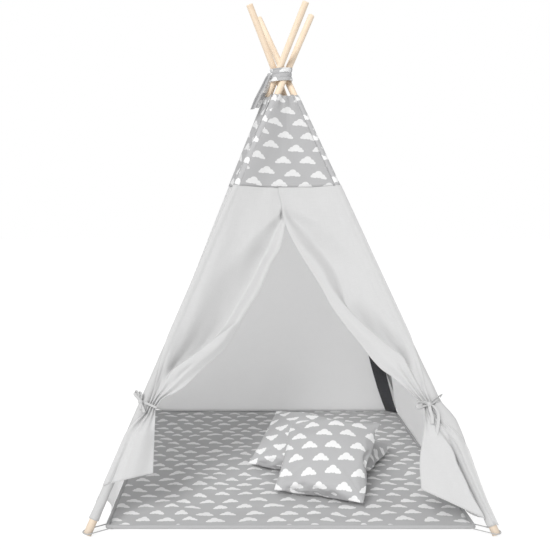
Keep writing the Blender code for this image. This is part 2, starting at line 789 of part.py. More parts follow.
def make_cushions():
    right = make_cushion("cushion_right", RIGHT_CUSHION_PLACE, RIGHT_CUSHION_YAW, RIGHT_CUSHION_LEAN,
                         RIGHT_CUSHION_THICKNESS, RIGHT_CUSHION_PRESSED_SHARE, True)
    left = make_cushion("cushion_left", LEFT_CUSHION_PLACE, LEFT_CUSHION_YAW, LEFT_CUSHION_LEAN,
                        LEFT_CUSHION_THICKNESS)
    lean_against(left, right, LEFT_CUSHION_YAW)
    front = make_cushion("cushion_front", FRONT_CUSHION_PLACE, FRONT_CUSHION_YAW, FRONT_CUSHION_LEAN,
                         FRONT_CUSHION_THICKNESS)
    lean_against(front, left, FRONT_CUSHION_YAW)


def build():
    for corner in CORNERS:
        make_pole(corner)
        make_sleeve("crown_sleeve_" + corner, corner, SEAM_HEIGHT + GAP, RIM_HEIGHT, PRINTED_GREY)
        make_sleeve("sleeve_" + corner, corner, SLEEVE_END_HEIGHT, SEAM_HEIGHT, LIGHT_GREY)
        make_corner_loop(corner)
    for face in FACES:
        make_panel("crown_" + face, face, RIM_HEIGHT, SEAM_HEIGHT + GAP, CROWN_COLUMNS, CROWN_ROWS,
                   PRINTED_GREY)
    for face in ("right", "back", "left"):
        make_panel("panel_" + face, face, SEAM_HEIGHT, HEM_HEIGHT, PANEL_COLUMNS, PANEL_ROWS, LIGHT_GREY)
    for corner in ("back_right", "back_left"):
        make_corner_tape(corner)
    for side in ("left", "right"):
        make_curtain(side)
        make_tie_band(side)
        make_bow(side)
    make_lash_band()
    make_lash_tail()
    make_mat()
    make_mat_border()
    make_cushions()


build()
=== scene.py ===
# %% [markdown]
# # A kids teepee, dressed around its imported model
#
# The real tent is four pine poles in sewn tunnels of cotton, a printed crown, plain walls, two door
# curtains tied back to the front poles, a printed floor mat and three stuffed cushions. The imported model
# gives every place and size. This script makes the cloth, the wood and the print that a viewer sees, and
# each piece rides on the body that carries it. The first cell clears the file and loads the model.

import json
import math

import bmesh
import bpy
from mathutils import Matrix, Vector, noise

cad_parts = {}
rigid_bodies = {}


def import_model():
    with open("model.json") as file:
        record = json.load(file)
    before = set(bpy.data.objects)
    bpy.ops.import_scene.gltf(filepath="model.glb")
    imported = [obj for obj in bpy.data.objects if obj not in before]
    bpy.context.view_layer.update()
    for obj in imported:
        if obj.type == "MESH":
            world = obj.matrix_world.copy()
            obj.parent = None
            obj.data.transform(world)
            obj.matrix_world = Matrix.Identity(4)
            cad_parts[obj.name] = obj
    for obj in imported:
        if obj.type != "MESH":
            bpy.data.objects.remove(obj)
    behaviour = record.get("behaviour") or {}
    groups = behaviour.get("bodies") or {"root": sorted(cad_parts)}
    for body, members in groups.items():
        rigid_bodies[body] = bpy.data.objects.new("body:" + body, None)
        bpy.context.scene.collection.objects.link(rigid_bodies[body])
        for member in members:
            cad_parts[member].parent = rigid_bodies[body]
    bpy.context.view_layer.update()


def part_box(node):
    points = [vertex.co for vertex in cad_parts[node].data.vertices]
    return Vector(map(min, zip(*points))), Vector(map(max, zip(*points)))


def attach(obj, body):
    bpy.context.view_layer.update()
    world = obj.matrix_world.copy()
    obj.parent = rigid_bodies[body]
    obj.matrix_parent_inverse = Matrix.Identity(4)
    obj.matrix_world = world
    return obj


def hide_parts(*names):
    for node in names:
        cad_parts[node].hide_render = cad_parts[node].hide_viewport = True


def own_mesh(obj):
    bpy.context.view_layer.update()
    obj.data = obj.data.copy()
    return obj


for leftover in list(bpy.data.objects):
    bpy.data.objects.remove(leftover, do_unlink=True)
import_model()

# %% [markdown]
# ## The camera
#
# A product photograph like this is taken from a little above a child's head height, far enough away that
# the poles hardly spread. The camera is placed first, because every later choice is judged through it. Its
# place came from matching the mat's corners, the pole feet and the pole tips, and the small shift stands
# for the crop of the photograph.

# %% Camera at the photograph's view
FRAME_PIXELS = 550
FOCAL_PIXELS = 698.2
SENSOR = 36.0
CROP_SHIFT = (0.0576, -0.1249)
LOOKING_DOWN = 0.02
camera_data = bpy.data.cameras.new("photo_view")
camera_data.sensor_width = SENSOR
camera_data.lens = FOCAL_PIXELS / FRAME_PIXELS * SENSOR
camera_data.shift_x, camera_data.shift_y = CROP_SHIFT
camera = bpy.data.objects.new("photo_view", camera_data)
camera.location = (-0.1404, -2.5938, 0.9971)
camera.rotation_euler = (math.pi / 2 - LOOKING_DOWN, 0, 0)
bpy.context.scene.collection.objects.link(camera)
bpy.context.scene.camera = camera
print("lens", round(camera_data.lens, 1), "mm")

# %% [markdown]
# ## Helpers for materials
#
# A Blender material is a small network of nodes. A helper keeps the later cells short: it adds a node with
# its settings, and each of its inputs is linked where the value is another node's output, or else set. Maths
# and mixed colours are asked for so often that each has a helper of its own, which hands back the result.

# %% Node helpers
def node(tree, kind, inputs=None, **settings):
    made = tree.nodes.new("ShaderNode" + kind)
    for key, value in settings.items():
        setattr(made, key, value)
    for key, value in (inputs or {}).items():
        if isinstance(value, bpy.types.NodeSocket):
            tree.links.new(value, made.inputs[key])
        else:
            made.inputs[key].default_value = value
    return made


def maths(tree, operation, *values):
    return node(tree, "Math", dict(enumerate(values)), operation=operation).outputs[0]


def mix_colours(tree, share, *colours):
    """The first colour turning into the second as the share goes from 0 to 1."""
    first, second = [c if isinstance(c, bpy.types.NodeSocket) else (*c, 1) for c in colours]
    return node(tree, "Mix", {0: share, 6: first, 7: second}, data_type="RGBA").outputs[2]


def blank_material(name, roughness, sheen=0.0):
    material = bpy.data.materials.new(name)
    material.use_nodes = True
    shader = material.node_tree.nodes["Principled BSDF"]
    shader.inputs["Roughness"].default_value = roughness
    shader.inputs["Sheen Weight"].default_value = sheen
    return material, material.node_tree, shader


def add_bump(tree, shader, height, strength, distance):
    bump = node(tree, "Bump", {"Height": height, "Strength": strength, "Distance": distance})
    tree.links.new(bump.outputs[0], shader.inputs["Normal"])


def grey(level, blue=0.0):
    return (level, level, level + blue)


print("helpers for materials ready")

# %% [markdown]
# ## Pine
#
# The poles are turned pine dowels: pale, slightly pink, with long fine grain that runs along the pole. The
# grain can't come from the object's own axes, because a pole leans. So each pole carries its straight
# coordinates in an attribute, and the noise is read along those, stretched along the pole. The last few
# centimetres at the foot are greyer: painted shade, low down where the pole stands on the floor.

# %% The wood's finish
# The third pine colour is painted shade, laid on the foot of each pole.
PINE_LIGHT, PINE_DARK, PINE_FOOT_SHADE = (0.90, 0.77, 0.61), (0.78, 0.60, 0.44), (0.56, 0.48, 0.40)
FOOT_SHADE_UP_TO = 0.09


def pine_material():
    material, tree, shader = blank_material("pine", 0.55)
    straight = node(tree, "Attribute", attribute_name="straight").outputs["Vector"]
    wander = node(tree, "Mapping", {"Vector": straight, "Scale": (9, 9, 1.6)})
    waves = node(tree, "TexNoise", {"Vector": wander.outputs[0], "Scale": 4.0, "Detail": 3.0})
    stretched = node(tree, "Mapping", {"Vector": straight, "Scale": (260, 260, 7)})
    fibres = node(tree, "TexNoise",
                  {"Vector": stretched.outputs[0], "Scale": 1.0, "Detail": 4.0, "Roughness": 0.6})
    rings = maths(tree, "SINE", maths(tree, "MULTIPLY", waves.outputs["Fac"], 60.0))
    rings = maths(tree, "MULTIPLY_ADD", rings, 0.18, 0.30)
    grain = maths(tree, "MULTIPLY_ADD", fibres.outputs["Fac"], 0.75, rings)
    grain = maths(tree, "SUBTRACT", grain, 0.20)
    grain.node.use_clamp = True
    colour = mix_colours(tree, grain, PINE_LIGHT, PINE_DARK)
    # Painted shade: towards the foot the colour turns greyer.
    height = node(tree, "SeparateXYZ", {"Vector": node(tree, "TexCoord").outputs["Object"]}).outputs[2]
    painted_foot_shade = node(tree, "MapRange", {"Value": height, "From Max": FOOT_SHADE_UP_TO, "To Min": 0.85, "To Max": 0.0})
    colour = mix_colours(tree, painted_foot_shade.outputs[0], colour, PINE_FOOT_SHADE)
    tree.links.new(colour, shader.inputs["Base Color"])
    add_bump(tree, shader, fibres.outputs["Fac"], 0.15, 0.0006)
    return material


PINE = pine_material()
print("pine ready")

# %% [markdown]
# ## Cotton, plain and printed
#
# The walls are a plain weave with a few thicker threads, so the colour runs in faint streaks along the
# weft. Every cloth piece here carries a UV map named flat, which is the cloth laid flat and measured in
# metres. The weave and the streaks are read from it, so they follow every fold at their real size.
#
# The print is white clouds on mid grey. Each cloud is a union of circles cut off level below, and it is
# drawn with distances: a point is inside the cloud where its distance to the nearest circle is below zero.
# Rows are shifted by half a repeat, and a little noise per cloud keeps the print from looking ruled.

# %% Weave, shared by all cottons
THREAD = 0.0011


def weave_height(tree, flat):
    parts = node(tree, "SeparateXYZ", {"Vector": flat})
    turns = math.tau / THREAD
    across = maths(tree, "SINE", maths(tree, "MULTIPLY", parts.outputs[0], turns))
    down = maths(tree, "SINE", maths(tree, "MULTIPLY", parts.outputs[1], turns))
    return maths(tree, "MULTIPLY", across, down)


def streaks(tree, flat, scale=(28, 620, 1)):
    stretched = node(tree, "Mapping", {"Vector": flat, "Scale": scale})
    return node(tree, "TexNoise",
                {"Vector": stretched.outputs[0], "Scale": 1.0, "Detail": 3.0}).outputs["Fac"]


def add_weave_bump(tree, shader, flat):
    soft = node(tree, "TexNoise", {"Vector": flat, "Scale": 38.0, "Detail": 2.0}).outputs["Fac"]
    height = maths(tree, "MULTIPLY_ADD", soft, 6.0, weave_height(tree, flat))
    add_bump(tree, shader, height, 0.25, 0.0003)


def let_light_through(tree, shader, colour, share):
    """Thin cotton also glows with the light that falls on its other side."""
    glow = node(tree, "BsdfTranslucent", {"Color": colour})
    both = node(tree, "MixShader", {0: share, 1: shader.outputs[0], 2: glow.outputs[0]})
    tree.links.new(both.outputs[0], tree.nodes["Material Output"].inputs["Surface"])


print("thread", THREAD, "m wide")

# %% Plain cottons
def cotton(name, colour_of, through):
    """A cotton whose colour comes from the function colour_of, with the weave's bump on it."""
    material, tree, shader = blank_material(name, 0.95, 0.1)
    flat = node(tree, "UVMap", uv_map="flat").outputs[0]
    colour = colour_of(tree, flat)
    tree.links.new(colour, shader.inputs["Base Color"])
    add_weave_bump(tree, shader, flat)
    if through:
        let_light_through(tree, shader, colour, through)
    return material


def plain_cotton(name, light, dark, through=0.0):
    def colour_of(tree, flat):
        both = maths(tree, "ADD", streaks(tree, flat), streaks(tree, flat, (620, 28, 1)))
        share = maths(tree, "MULTIPLY_ADD", both, 0.9, -0.4)
        share.node.use_clamp = True
        return mix_colours(tree, share, light, dark)

    return cotton(name, colour_of, through)


PLAIN = plain_cotton("plain_cotton", grey(0.95), grey(0.90), 0.63)
CURTAIN_COTTON = plain_cotton("curtain_cotton", grey(0.745), grey(0.675), 0.24)
# The doubled cloth of tunnels, ribbons and knots is darker than the plain cotton: painted shade, for the
# shade under the curtains' skirts.
DOUBLED_PAINTED_SHADE = plain_cotton("doubled_cotton_painted_shade", grey(0.58), grey(0.50))
BINDING_COTTON = plain_cotton("binding_cotton", grey(0.46, 0.005), grey(0.38, 0.005))
TAPE = plain_cotton("dark_tape", grey(0.085, 0.005), grey(0.05, 0.005))
print("plain cottons", 5)

# %% The cloud print
REPEAT = 0.080
ROW = 0.0435
STRAY_ACROSS, STRAY_UP, TILT = 0.013, 0.008, 0.24
CLOUD_FOOT = -0.0115
CLOUD_CIRCLES = (
    (-0.0129, -0.0032, 0.0088),
    (-0.0009, 0.0018, 0.0120),
    (0.0124, -0.0041, 0.0083),
    (0.0207, -0.0078, 0.0046),
    (-0.0212, -0.0078, 0.0046),
)


def cloud_share(tree, flat):
    """1 inside a cloud and 0 outside, from the cloth's flat coordinates in metres."""
    parts = node(tree, "SeparateXYZ", {"Vector": flat})
    row_place = maths(tree, "DIVIDE", parts.outputs[1], ROW)
    row = maths(tree, "FLOOR", row_place)
    shifted = maths(tree, "MULTIPLY_ADD", row, 0.5, maths(tree, "DIVIDE", parts.outputs[0], REPEAT))
    tile = maths(tree, "FLOOR", shifted)
    cell = node(tree, "CombineXYZ", {"X": tile, "Y": row})
    chance = node(tree, "TexWhiteNoise", {"Vector": cell.outputs[0]}, noise_dimensions="2D")
    chances = node(tree, "SeparateColor", {"Color": chance.outputs["Color"]})

    def centred(share, size):
        return maths(tree, "MULTIPLY_ADD", share, size, -size / 2)

    x = centred(maths(tree, "FRACT", shifted), REPEAT)
    x = maths(tree, "ADD", x, centred(chances.outputs[0], STRAY_ACROSS))
    y = centred(maths(tree, "FRACT", row_place), ROW)
    y = maths(tree, "ADD", y, centred(chances.outputs[1], STRAY_UP))
    y = maths(tree, "MULTIPLY_ADD", x, centred(chances.outputs[2], TILT), y)
    nearest = None
    for circle_x, circle_y, radius in CLOUD_CIRCLES:
        away_x = maths(tree, "ADD", x, -circle_x)
        away_y = maths(tree, "ADD", y, -circle_y)
        square = maths(tree, "MULTIPLY_ADD", away_x, away_x, maths(tree, "MULTIPLY", away_y, away_y))
        distance = maths(tree, "SUBTRACT", maths(tree, "SQRT", square), radius)
        nearest = distance if nearest is None else maths(tree, "MINIMUM", nearest, distance)
    nearest = maths(tree, "MAXIMUM", nearest, maths(tree, "SUBTRACT", CLOUD_FOOT, y))
    edge = node(tree, "MapRange",
                {"Value": nearest, "From Min": -0.0005, "From Max": 0.0005, "To Min": 1.0, "To Max": 0.0})
    return edge.outputs[0]


print("circles in a cloud", len(CLOUD_CIRCLES))

# %% Printed cottons
def printed_cotton(name, ground, through=0.0):
    def colour_of(tree, flat):
        shade = maths(tree, "MULTIPLY_ADD", streaks(tree, flat), 0.8, -0.15)
        shade.node.use_clamp = True
        cloth_colour = mix_colours(tree, shade, ground, tuple(channel * 0.90 for channel in ground))
        return mix_colours(tree, cloud_share(tree, flat), cloth_colour, grey(0.82))

    return cotton(name, colour_of, through)


PRINT = printed_cotton("printed_cotton", grey(0.46, 0.005))
THIN_PRINT = printed_cotton("printed_cotton_single", grey(0.52, 0.005), 0.2)
print("printed cottons", 2)

# %% Thread and elastic
def thread_material(name, level):
    material, tree, shader = blank_material(name, 0.8, 0.2)
    place = node(tree, "TexCoord").outputs["Object"]
    twist = node(tree, "TexNoise", {"Vector": place, "Scale": 900.0, "Detail": 1.0}).outputs["Fac"]
    tree.links.new(mix_colours(tree, twist, grey(level), grey(level * 0.75)), shader.inputs["Base Color"])
    add_bump(tree, shader, twist, 0.3, 0.0003)
    return material


THREAD_GREY = thread_material("grey_thread", 0.62)
THREAD_PALE = thread_material("pale_thread", 0.76)
ELASTIC = thread_material("elastic", 0.50)
print("threads", 3)

# %% [markdown]
# ## The frame's lines
#
# All the cloth hangs from the four pole lines, so these few formulas come before any shape. The poles stand
# on a square and pass each other like a pinwheel at the crossing. The sizes and a few small helpers come
# first: mix goes from one value to another, ease does so softly, and table looks a value up in a short list.

# %% Sizes
FOOT = 0.595
CROSSING = 1.43
PINWHEEL = 0.023
POLE_RADIUS = 0.012
SLEEVE_RADIUS = 0.014
GAP = 0.0003
CLOTH = 0.0012
RIM = 1.348
SEAM = 1.019
SLEEVE_END = {"front_left": 0.044, "front_right": 0.029, "back_right": 0.036, "back_left": 0.036}
CORNERS = {"front_left": (-1, -1), "front_right": (1, -1), "back_right": (1, 1), "back_left": (-1, 1)}
FACES = {
    "front": ("front_left", "front_right"),
    "right": ("front_right", "back_right"),
    "back": ("back_right", "back_left"),
    "left": ("back_left", "front_left"),
}
UP = Vector((0, 0, 1))
EAST = Vector((1, 0, 0))
print("poles stand", 2 * FOOT, "m apart")

# %% Small helpers
def mix(a, b, share):
    return a + (b - a) * share


def steps(start, end, count):
    """Evenly spaced values from start to end, both included."""
    return [mix(start, end, i / count) for i in range(count + 1)]


def noise_at(x, y, z):
    return noise.noise(Vector((x, y, z)))


def towards(angle):
    """One step in the level plane at this angle."""
    return Vector((math.cos(angle), math.sin(angle), 0))


def axes(x, y, z):
    """A matrix that turns the world's axes to these three."""
    return Matrix((x, y, z)).transposed().to_4x4()


def ease(share):
    share = min(max(share, 0.0), 1.0)
    return share * share * (3 - 2 * share)


def table(points, share):
    """The value at share from a short list of (share, value), eased from one to the next."""
    if share <= points[0][0]:
        return points[0][1]
    for (start, first), (end, second) in zip(points, points[1:]):
        if share <= end:
            return mix(first, second, ease((share - start) / (end - start)))
    return points[-1][1]


print("halfway of an ease", ease(0.5))

# %% Pole lines
def foot_point(corner):
    side, depth = CORNERS[corner]
    return Vector((side * FOOT, depth * FOOT, 0))


def crossing_point(corner):
    diagonal = Vector((*CORNERS[corner], 0)).normalized()
    return Vector((-diagonal.y, diagonal.x, 0)) * PINWHEEL + UP * CROSSING


def along_pole(corner):
    return (crossing_point(corner) - foot_point(corner)).normalized()


def pole_point(corner, height):
    return foot_point(corner).lerp(crossing_point(corner), height / CROSSING)


def pole_frame(corner, height, level=None):
    """Z runs up the pole, and X points level: away from the tent's middle, where nothing else is asked."""
    along = along_pole(corner)
    if level is None:
        level = foot_point(corner) - crossing_point(corner)
        level.z = 0
    across = (level - along * level.dot(along)).normalized()
    placed = axes(across, along.cross(across), along)
    placed.translation = pole_point(corner, height)
    return placed


LEAN = math.acos(along_pole("front_left").z)
print("pole lean", round(math.degrees(LEAN), 2), "degrees")

# %% [markdown]
# ## From a bmesh to a finished piece
#
# Every piece ends in the same few steps: its mesh gets a material, smooth shading and an object at the
# origin. Cloth starts as a grid from an operator. A rule then puts each of the grid's points in place, and
# the UV map keeps where the point lay on the flat cloth.

# %% Piece helpers
def piece_from(bm, name, material, sharp=math.radians(50)):
    mesh = bpy.data.meshes.new(name)
    bm.to_mesh(mesh)
    bm.free()
    mesh.materials.append(material)
    mesh.shade_smooth()
    mesh.set_sharp_from_angle(angle=sharp)
    piece = bpy.data.objects.new(name, mesh)
    bpy.context.scene.collection.objects.link(piece)
    return piece


def cloth_grid(columns, rows, place, flat, wrap=False):
    """A grid placed by a rule from its shares across and down, with its flat place as UV."""
    bm = bmesh.new()
    bmesh.ops.create_grid(bm, x_segments=columns, y_segments=rows, size=0.5)
    uv = bm.loops.layers.uv.new("flat")
    for face in bm.faces:
        for loop in face.loops:
            loop[uv].uv = flat(loop.vert.co.x + 0.5, 0.5 - loop.vert.co.y)
    for point in bm.verts:
        point.co = place(point.co.x + 0.5, 0.5 - point.co.y)
    if wrap:
        bmesh.ops.remove_doubles(bm, verts=bm.verts, dist=0.00001)
        bmesh.ops.recalc_face_normals(bm, faces=bm.faces)
    return bm


def turn_flat(u, v, angle):
    return u * math.cos(angle) - v * math.sin(angle), u * math.sin(angle) + v * math.cos(angle)


def mesh_area(piece):
    return sum(polygon.area for polygon in piece.data.polygons)


def thicken(piece, thickness, offset=0.0):
    wall = piece.modifiers.new("cloth", "SOLIDIFY")
    wall.thickness = thickness
    wall.offset = offset
    wall.use_even_offset = False


def make_cloth(name, material, size, place, flat, thickness=CLOTH):
    piece = piece_from(cloth_grid(*size, place, flat), name, material)
    thicken(piece, thickness)
    return piece


print("cloth is", CLOTH, "m thick")

# %% [markdown]
# Each piece then says which body carries it and which solids it stands for. Cloth of a face is carried
# by the face's own body and gets a mesh of its own.

# %% Which body carries a piece
def stands_for(piece, body, slot, *nodes):
    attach(piece, body)
    if nodes:
        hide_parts(*nodes)


def on_face(piece, face, slot, *nodes):
    """Cloth of a face, carried by the face's own body, with a mesh of its own."""
    stands_for(piece, "face_" + face, slot, *nodes)
    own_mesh(piece)


print("helpers for pieces ready")

# %% [markdown]
# ## Stitches
#
# A seam reads as a seam because of its thread. Each stitch is a tiny stretched ball laid along the seam, a
# few millimetres long, slightly sunk in the cloth. They are real geometry, so they catch light from any
# side. A row is made in a bmesh of its own and then poured into the piece's mesh, because an operator gets
# slower as its bmesh grows.

# %% Rows of stitches
STITCH = 0.0034
STITCH_PITCH = 0.0052
STITCH_WIDTH = 0.0009


def stitch_rows(rows):
    """One bmesh of stitches along several rows, each a list of (point, outward direction)."""
    whole = bmesh.new()
    for row in rows:
        single = bmesh.new()
        carried = STITCH_PITCH / 2
        for (start, out_start), (end, out_end) in zip(row, row[1:]):
            run = (end - start).length
            while carried < run:
                share = carried / run
                out = out_start.lerp(out_end, share).normalized()
                along = (end - start).normalized()
                side = out.cross(along).normalized()
                turned = axes(along, side, along.cross(side))
                size = Matrix.Diagonal((STITCH / 2, STITCH_WIDTH / 2, STITCH_WIDTH / 2, 1))
                centre = Matrix.Translation(start.lerp(end, share) + out * 0.0007)
                bmesh.ops.create_icosphere(single, subdivisions=1, radius=1, matrix=centre @ turned @ size)
                carried += STITCH_PITCH
            carried -= run
        poured = bpy.data.meshes.new("row")
        single.to_mesh(poured)
        single.free()
        whole.from_mesh(poured)
        bpy.data.meshes.remove(poured)
    return whole


def sew(name, face, slot, thread, rows):
    on_face(piece_from(stitch_rows(rows), name, thread), face, slot)


print("stitch", STITCH, "m long")

# %% [markdown]
# ## Poles
#
# A dowel is a cylinder with its rims just broken, so light catches the end. It is made upright, keeps its
# upright coordinates as the attribute that the grain reads, and is then turned into its leaning place.

# %% Four poles
POLE_LENGTH = 1.93
GRAIN_SHIFT = Vector((0.31, 0.17, 0.9))
for number, corner in enumerate(CORNERS):
    bm = bmesh.new()
    bmesh.ops.create_cone(bm, cap_ends=True, segments=40, radius1=POLE_RADIUS, radius2=POLE_RADIUS,
                          depth=POLE_LENGTH)
    bmesh.ops.translate(bm, verts=bm.verts, vec=UP * (POLE_LENGTH / 2))
    rims = [edge for edge in bm.edges if abs(edge.verts[0].co.z - edge.verts[1].co.z) < POLE_RADIUS]
    bmesh.ops.bevel(bm, geom=rims, offset=0.0011, affect="EDGES", segments=3, profile=0.5, material=-1)
    straight = bm.verts.layers.float_vector.new("straight")
    for point in bm.verts:
        point[straight] = point.co + GRAIN_SHIFT * number
    bmesh.ops.transform(bm, matrix=pole_frame(corner, POLE_RADIUS * math.sin(LEAN)), verts=bm.verts)
    pole = piece_from(bm, "pine_pole_" + corner, PINE, math.radians(40))
    stands_for(pole, "leg_" + corner, "pine", "pole_" + corner)
print("poles", len(CORNERS))

# %% [markdown]
# ## Sleeves
#
# The cover holds each pole in a sewn tunnel. A grid is wrapped round the pole, and noise makes the cloth
# wander by half a millimetre. Below the right tie the real tunnel hangs slack and bellies out to the side,
# so a short table gives how far it stands off at each height.

# %% Tunnels round the poles
SLACK = [(0.07, 0), (0.285, 0.022), (0.356, 0.002), (0.50, 0)]


def make_tunnel(name, corner, low, high, material, radius=SLEEVE_RADIUS, flare=0.0, slack=0.0):
    length = (high - low) / along_pole(corner).z
    base = pole_frame(corner, low)
    sideways = base.to_3x3().inverted() @ Vector((CORNERS[corner][0], 0, 0))
    side_angle = math.atan2(sideways.y, sideways.x)

    def place(around, down):
        angle = math.tau * around
        up = length * (1 - down)
        ring = towards(angle)
        wander = noise_at(ring.x * 0.9, ring.y * 0.9, up * 22 + len(name))
        creases = noise_at(ring.x * 2.2, ring.y * 2.2, up * 70)
        out = radius + wander * 0.0007 + creases * 0.00045 + flare * ease(1 - up / 0.03)
        loose = slack * table(SLACK, mix(high, low, down)) * ease(0.5 + 0.8 * math.cos(angle - side_angle))
        return base @ (ring * out + towards(side_angle) * loose + UP * up)

    def flat(around, down):
        return (around * math.tau * radius, length * (1 - down) + CORNERS[corner][0] * 0.3)

    tunnel = piece_from(cloth_grid(48, round(length / 0.008), place, flat, wrap=True), name, material)
    thicken(tunnel, CLOTH, -1.0)
    return tunnel


CROWN_SLEEVE_RADIUS = 0.0153
OVERLAP = 0.004
for corner in CORNERS:
    lower = make_tunnel("tunnel_" + corner, corner, SLEEVE_END[corner], SEAM, DOUBLED_PAINTED_SHADE, flare=0.0012,
                        slack=1.0 if corner == "front_right" else 0.0)
    stands_for(lower, "leg_" + corner, "plain_cotton", "sleeve_" + corner)
    upper = make_tunnel("crown_tunnel_" + corner, corner, SEAM - OVERLAP, RIM - 0.002, PRINT,
                        radius=CROWN_SLEEVE_RADIUS)
    stands_for(upper, "leg_" + corner, "printed_cotton", "crown_sleeve_" + corner)
    for tunnel, long in ((lower, SEAM - SLEEVE_END[corner]), (upper, RIM - SEAM)):
        long / along_pole(corner).z
print("tunnels", 2 * len(CORNERS))

# %% [markdown]
# ## Walls
#
# A wall is cloth stretched between two tunnels. It leaves each tunnel near its outer side, which is where
# the maker's stitches run, and sags inwards between them. Near the floor it hangs against the edge of the
# mat, and the back wall's foot lies over that edge. The rule that gives a point of the cloth from its share
# across and its height comes first, because the crown, the tapes and the seams are made from it as well.

# %% The taut cloth between two poles
PANEL_SAG = 0.022
HEM = 0.0055
SEWN_INSET = 0.006
SEWN_LIFT = 0.0142
MAT_HALF = 0.55
SLOPE = math.cos(math.atan(FOOT / CROSSING))
CORNER_REACH = {"right": (0.17, 0.026), "back": (0.026, 0.026), "left": (0.026, 0.09)}
OVER_MAT = 0.020
OUTWARD = {"front": Vector((0, -1, 0)), "right": EAST, "back": Vector((0, 1, 0)), "left": -EAST}


def face_normal(face):
    return (OUTWARD[face] * CROSSING + UP * FOOT).normalized()


def sewn_lift(near):
    """How far the cloth stands out of the poles' plane at this distance from its tunnel."""
    return SEWN_LIFT * (1 - ease(near / 0.10))


def wall_row(face, height):
    """Where the taut cloth starts at this height, which way it goes and how wide it is."""
    first, second = FACES[face]
    start = pole_point(first, height)
    across = pole_point(second, height) - start
    direction = across.normalized()
    inset = SEWN_INSET / along_pole(first).cross(direction).length
    return start + direction * inset, direction, across.length - 2 * inset


def wall_run(face, height):
    return wall_row(face, height)[2]


def wall_point(face, across_share, height):
    start, direction, run = wall_row(face, height)
    near = min(across_share, 1 - across_share) * run
    point = start + direction * (run * across_share) + face_normal(face) * sewn_lift(near)
    if face == "front":
        return point
    sag = PANEL_SAG * math.sin(math.pi * across_share) * (1 - height / CROSSING)
    reach_start, reach_end = CORNER_REACH[face]
    close = ease(across_share * run / reach_start) * ease((1 - across_share) * run / reach_end)
    beside_mat = (FOOT - MAT_HALF - 0.0040) * close
    if face == "back":
        beside_mat += OVER_MAT * ease(near / 0.12)
    inwards = mix(sag, beside_mat, ease((0.25 - height) / 0.24))
    return point - OUTWARD[face] * inwards


print("back wall's width at the floor", round(wall_run("back", 0), 3), "m")

# %% [markdown]
# Cloth between two poles is never flat. Its waves are noise stretched up the cloth, calmer towards the
# tunnels and the floor, and its hem is pushed out by a second thickness.

# %% Waves, hem and seams
SEAM_INSET = 0.004
DOUBLE = 0.0007


def wall_waves(face, across, height):
    seed = {"front": 3.1, "right": 7.7, "back": 1.3, "left": 5.9}[face]
    tall = noise_at(across * 3.2 + seed, height * 1.1, seed)
    fine = noise_at(across * 9.0 - seed, height * 3.4, seed * 2)
    held = ease(min(across, 1 - across) * 6) * ease((height - 0.02) / 0.14)
    return (tall * 0.0075 + fine * 0.0022) * held


def hem_height(face, across):
    """The hem lies beside the mat, and rises where a front corner of the cover is drawn up its pole."""
    length = 2 * FOOT
    if face == "left":
        return HEM + 0.075 * (1 - ease(((1 - across) * length - 0.02) / 0.13))
    if face == "right":
        return HEM + 0.022 * (1 - ease(across * length / 0.15))
    return HEM + 0.009 * ease(min(across, 1 - across) * length / 0.06)


def cloth_of_wall(face, across, height, extra=0.0):
    out = wall_waves(face, across, height) + extra
    return wall_point(face, across, height) + face_normal(face) * out


def side_seam(cloth, face, side, top, bottom, count):
    """A row of stitches down one side of a face's cloth."""
    row = []
    for height in steps(top, bottom, count):
        share = SEAM_INSET / wall_run(face, height)
        row.append((cloth(face, share if side == 0 else 1 - share, height), face_normal(face)))
    return row


def declare_stretched(face, top, bottom, height):
    """Works out the area of cloth cut as a trapezium, from the face's widths at two heights, and keeps
    nothing.
    """
    wide, tall = wall_run(face, bottom), height / SLOPE
    (wall_run(face, top) + wide) / 2 * tall


print("hem rises at the left's front corner to", round(hem_height("left", 1), 3), "m")

# %% Three walls
def wall_height(face, across, down):
    return mix(SEAM + OVERLAP, hem_height(face, across), down)


def wall_place(face, across, down):
    height = wall_height(face, across, down)
    doubled = DOUBLE * (1 - ease((height - hem_height(face, across) - 0.012) / 0.002))
    return cloth_of_wall(face, across, height, doubled)


def wall_flat(face, across, down):
    height = wall_height(face, across, down)
    return ((across - 0.5) * wall_run(face, height), height / SLOPE)


def wall_seams(face):
    rows = []
    for side in (0, 1):
        rows.append(side_seam(cloth_of_wall, face, side, SEAM - OVERLAP, hem_height(face, side), 50))
    hem = []
    for across in steps(0.01, 0.99, 60):
        hem.append((cloth_of_wall(face, across, hem_height(face, across) + 0.010, DOUBLE), face_normal(face)))
    return rows + [hem]


for face in ("back", "left", "right"):
    wall = make_cloth("wall_" + face, PLAIN, (96, 84), lambda a, d: wall_place(face, a, d),
                      lambda a, d: wall_flat(face, a, d))
    declare_stretched(face, SEAM, HEM, SEAM)
    on_face(wall, face, "plain_cotton", "panel_" + face)
    sew("wall_stitches_" + face, face, "plain_cotton", THREAD_PALE, wall_seams(face))
print("walls 3")

# %% [markdown]
# ## Crown
#
# The printed crown is four short panels above a seam. It overlaps the plain cloth below it by a few
# millimetres, so it is built the same way, a little further out, and its lower edge carries two rows of
# thread. The print isn't quite level on the real one, so its flat coordinates are turned a few degrees.

# %% Printed crown
CROWN_LIFT = 0.0015
PRINT_TURN = math.radians(7)


def crown_cloth(face, across, height):
    above = ease((height - SEAM) / 0.08)
    from_wall = wall_waves(face, across, height) * (0 if face == "front" else 1)
    waves = mix(from_wall, wall_waves(face, across, height + 3.0) * 0.45, above)
    held = ease(across * 5) * ease((1 - across) * 5)
    gather = 0.003 * math.sin(across * math.pi * 5) * ease((height - 1.27) / 0.06) * held
    return wall_point(face, across, height) + face_normal(face) * (waves + CROWN_LIFT + gather)


def crown_height(across, down):
    """The rim dips between its two tunnels."""
    return mix(RIM - 0.005 * math.sin(math.pi * across), SEAM - OVERLAP, down)


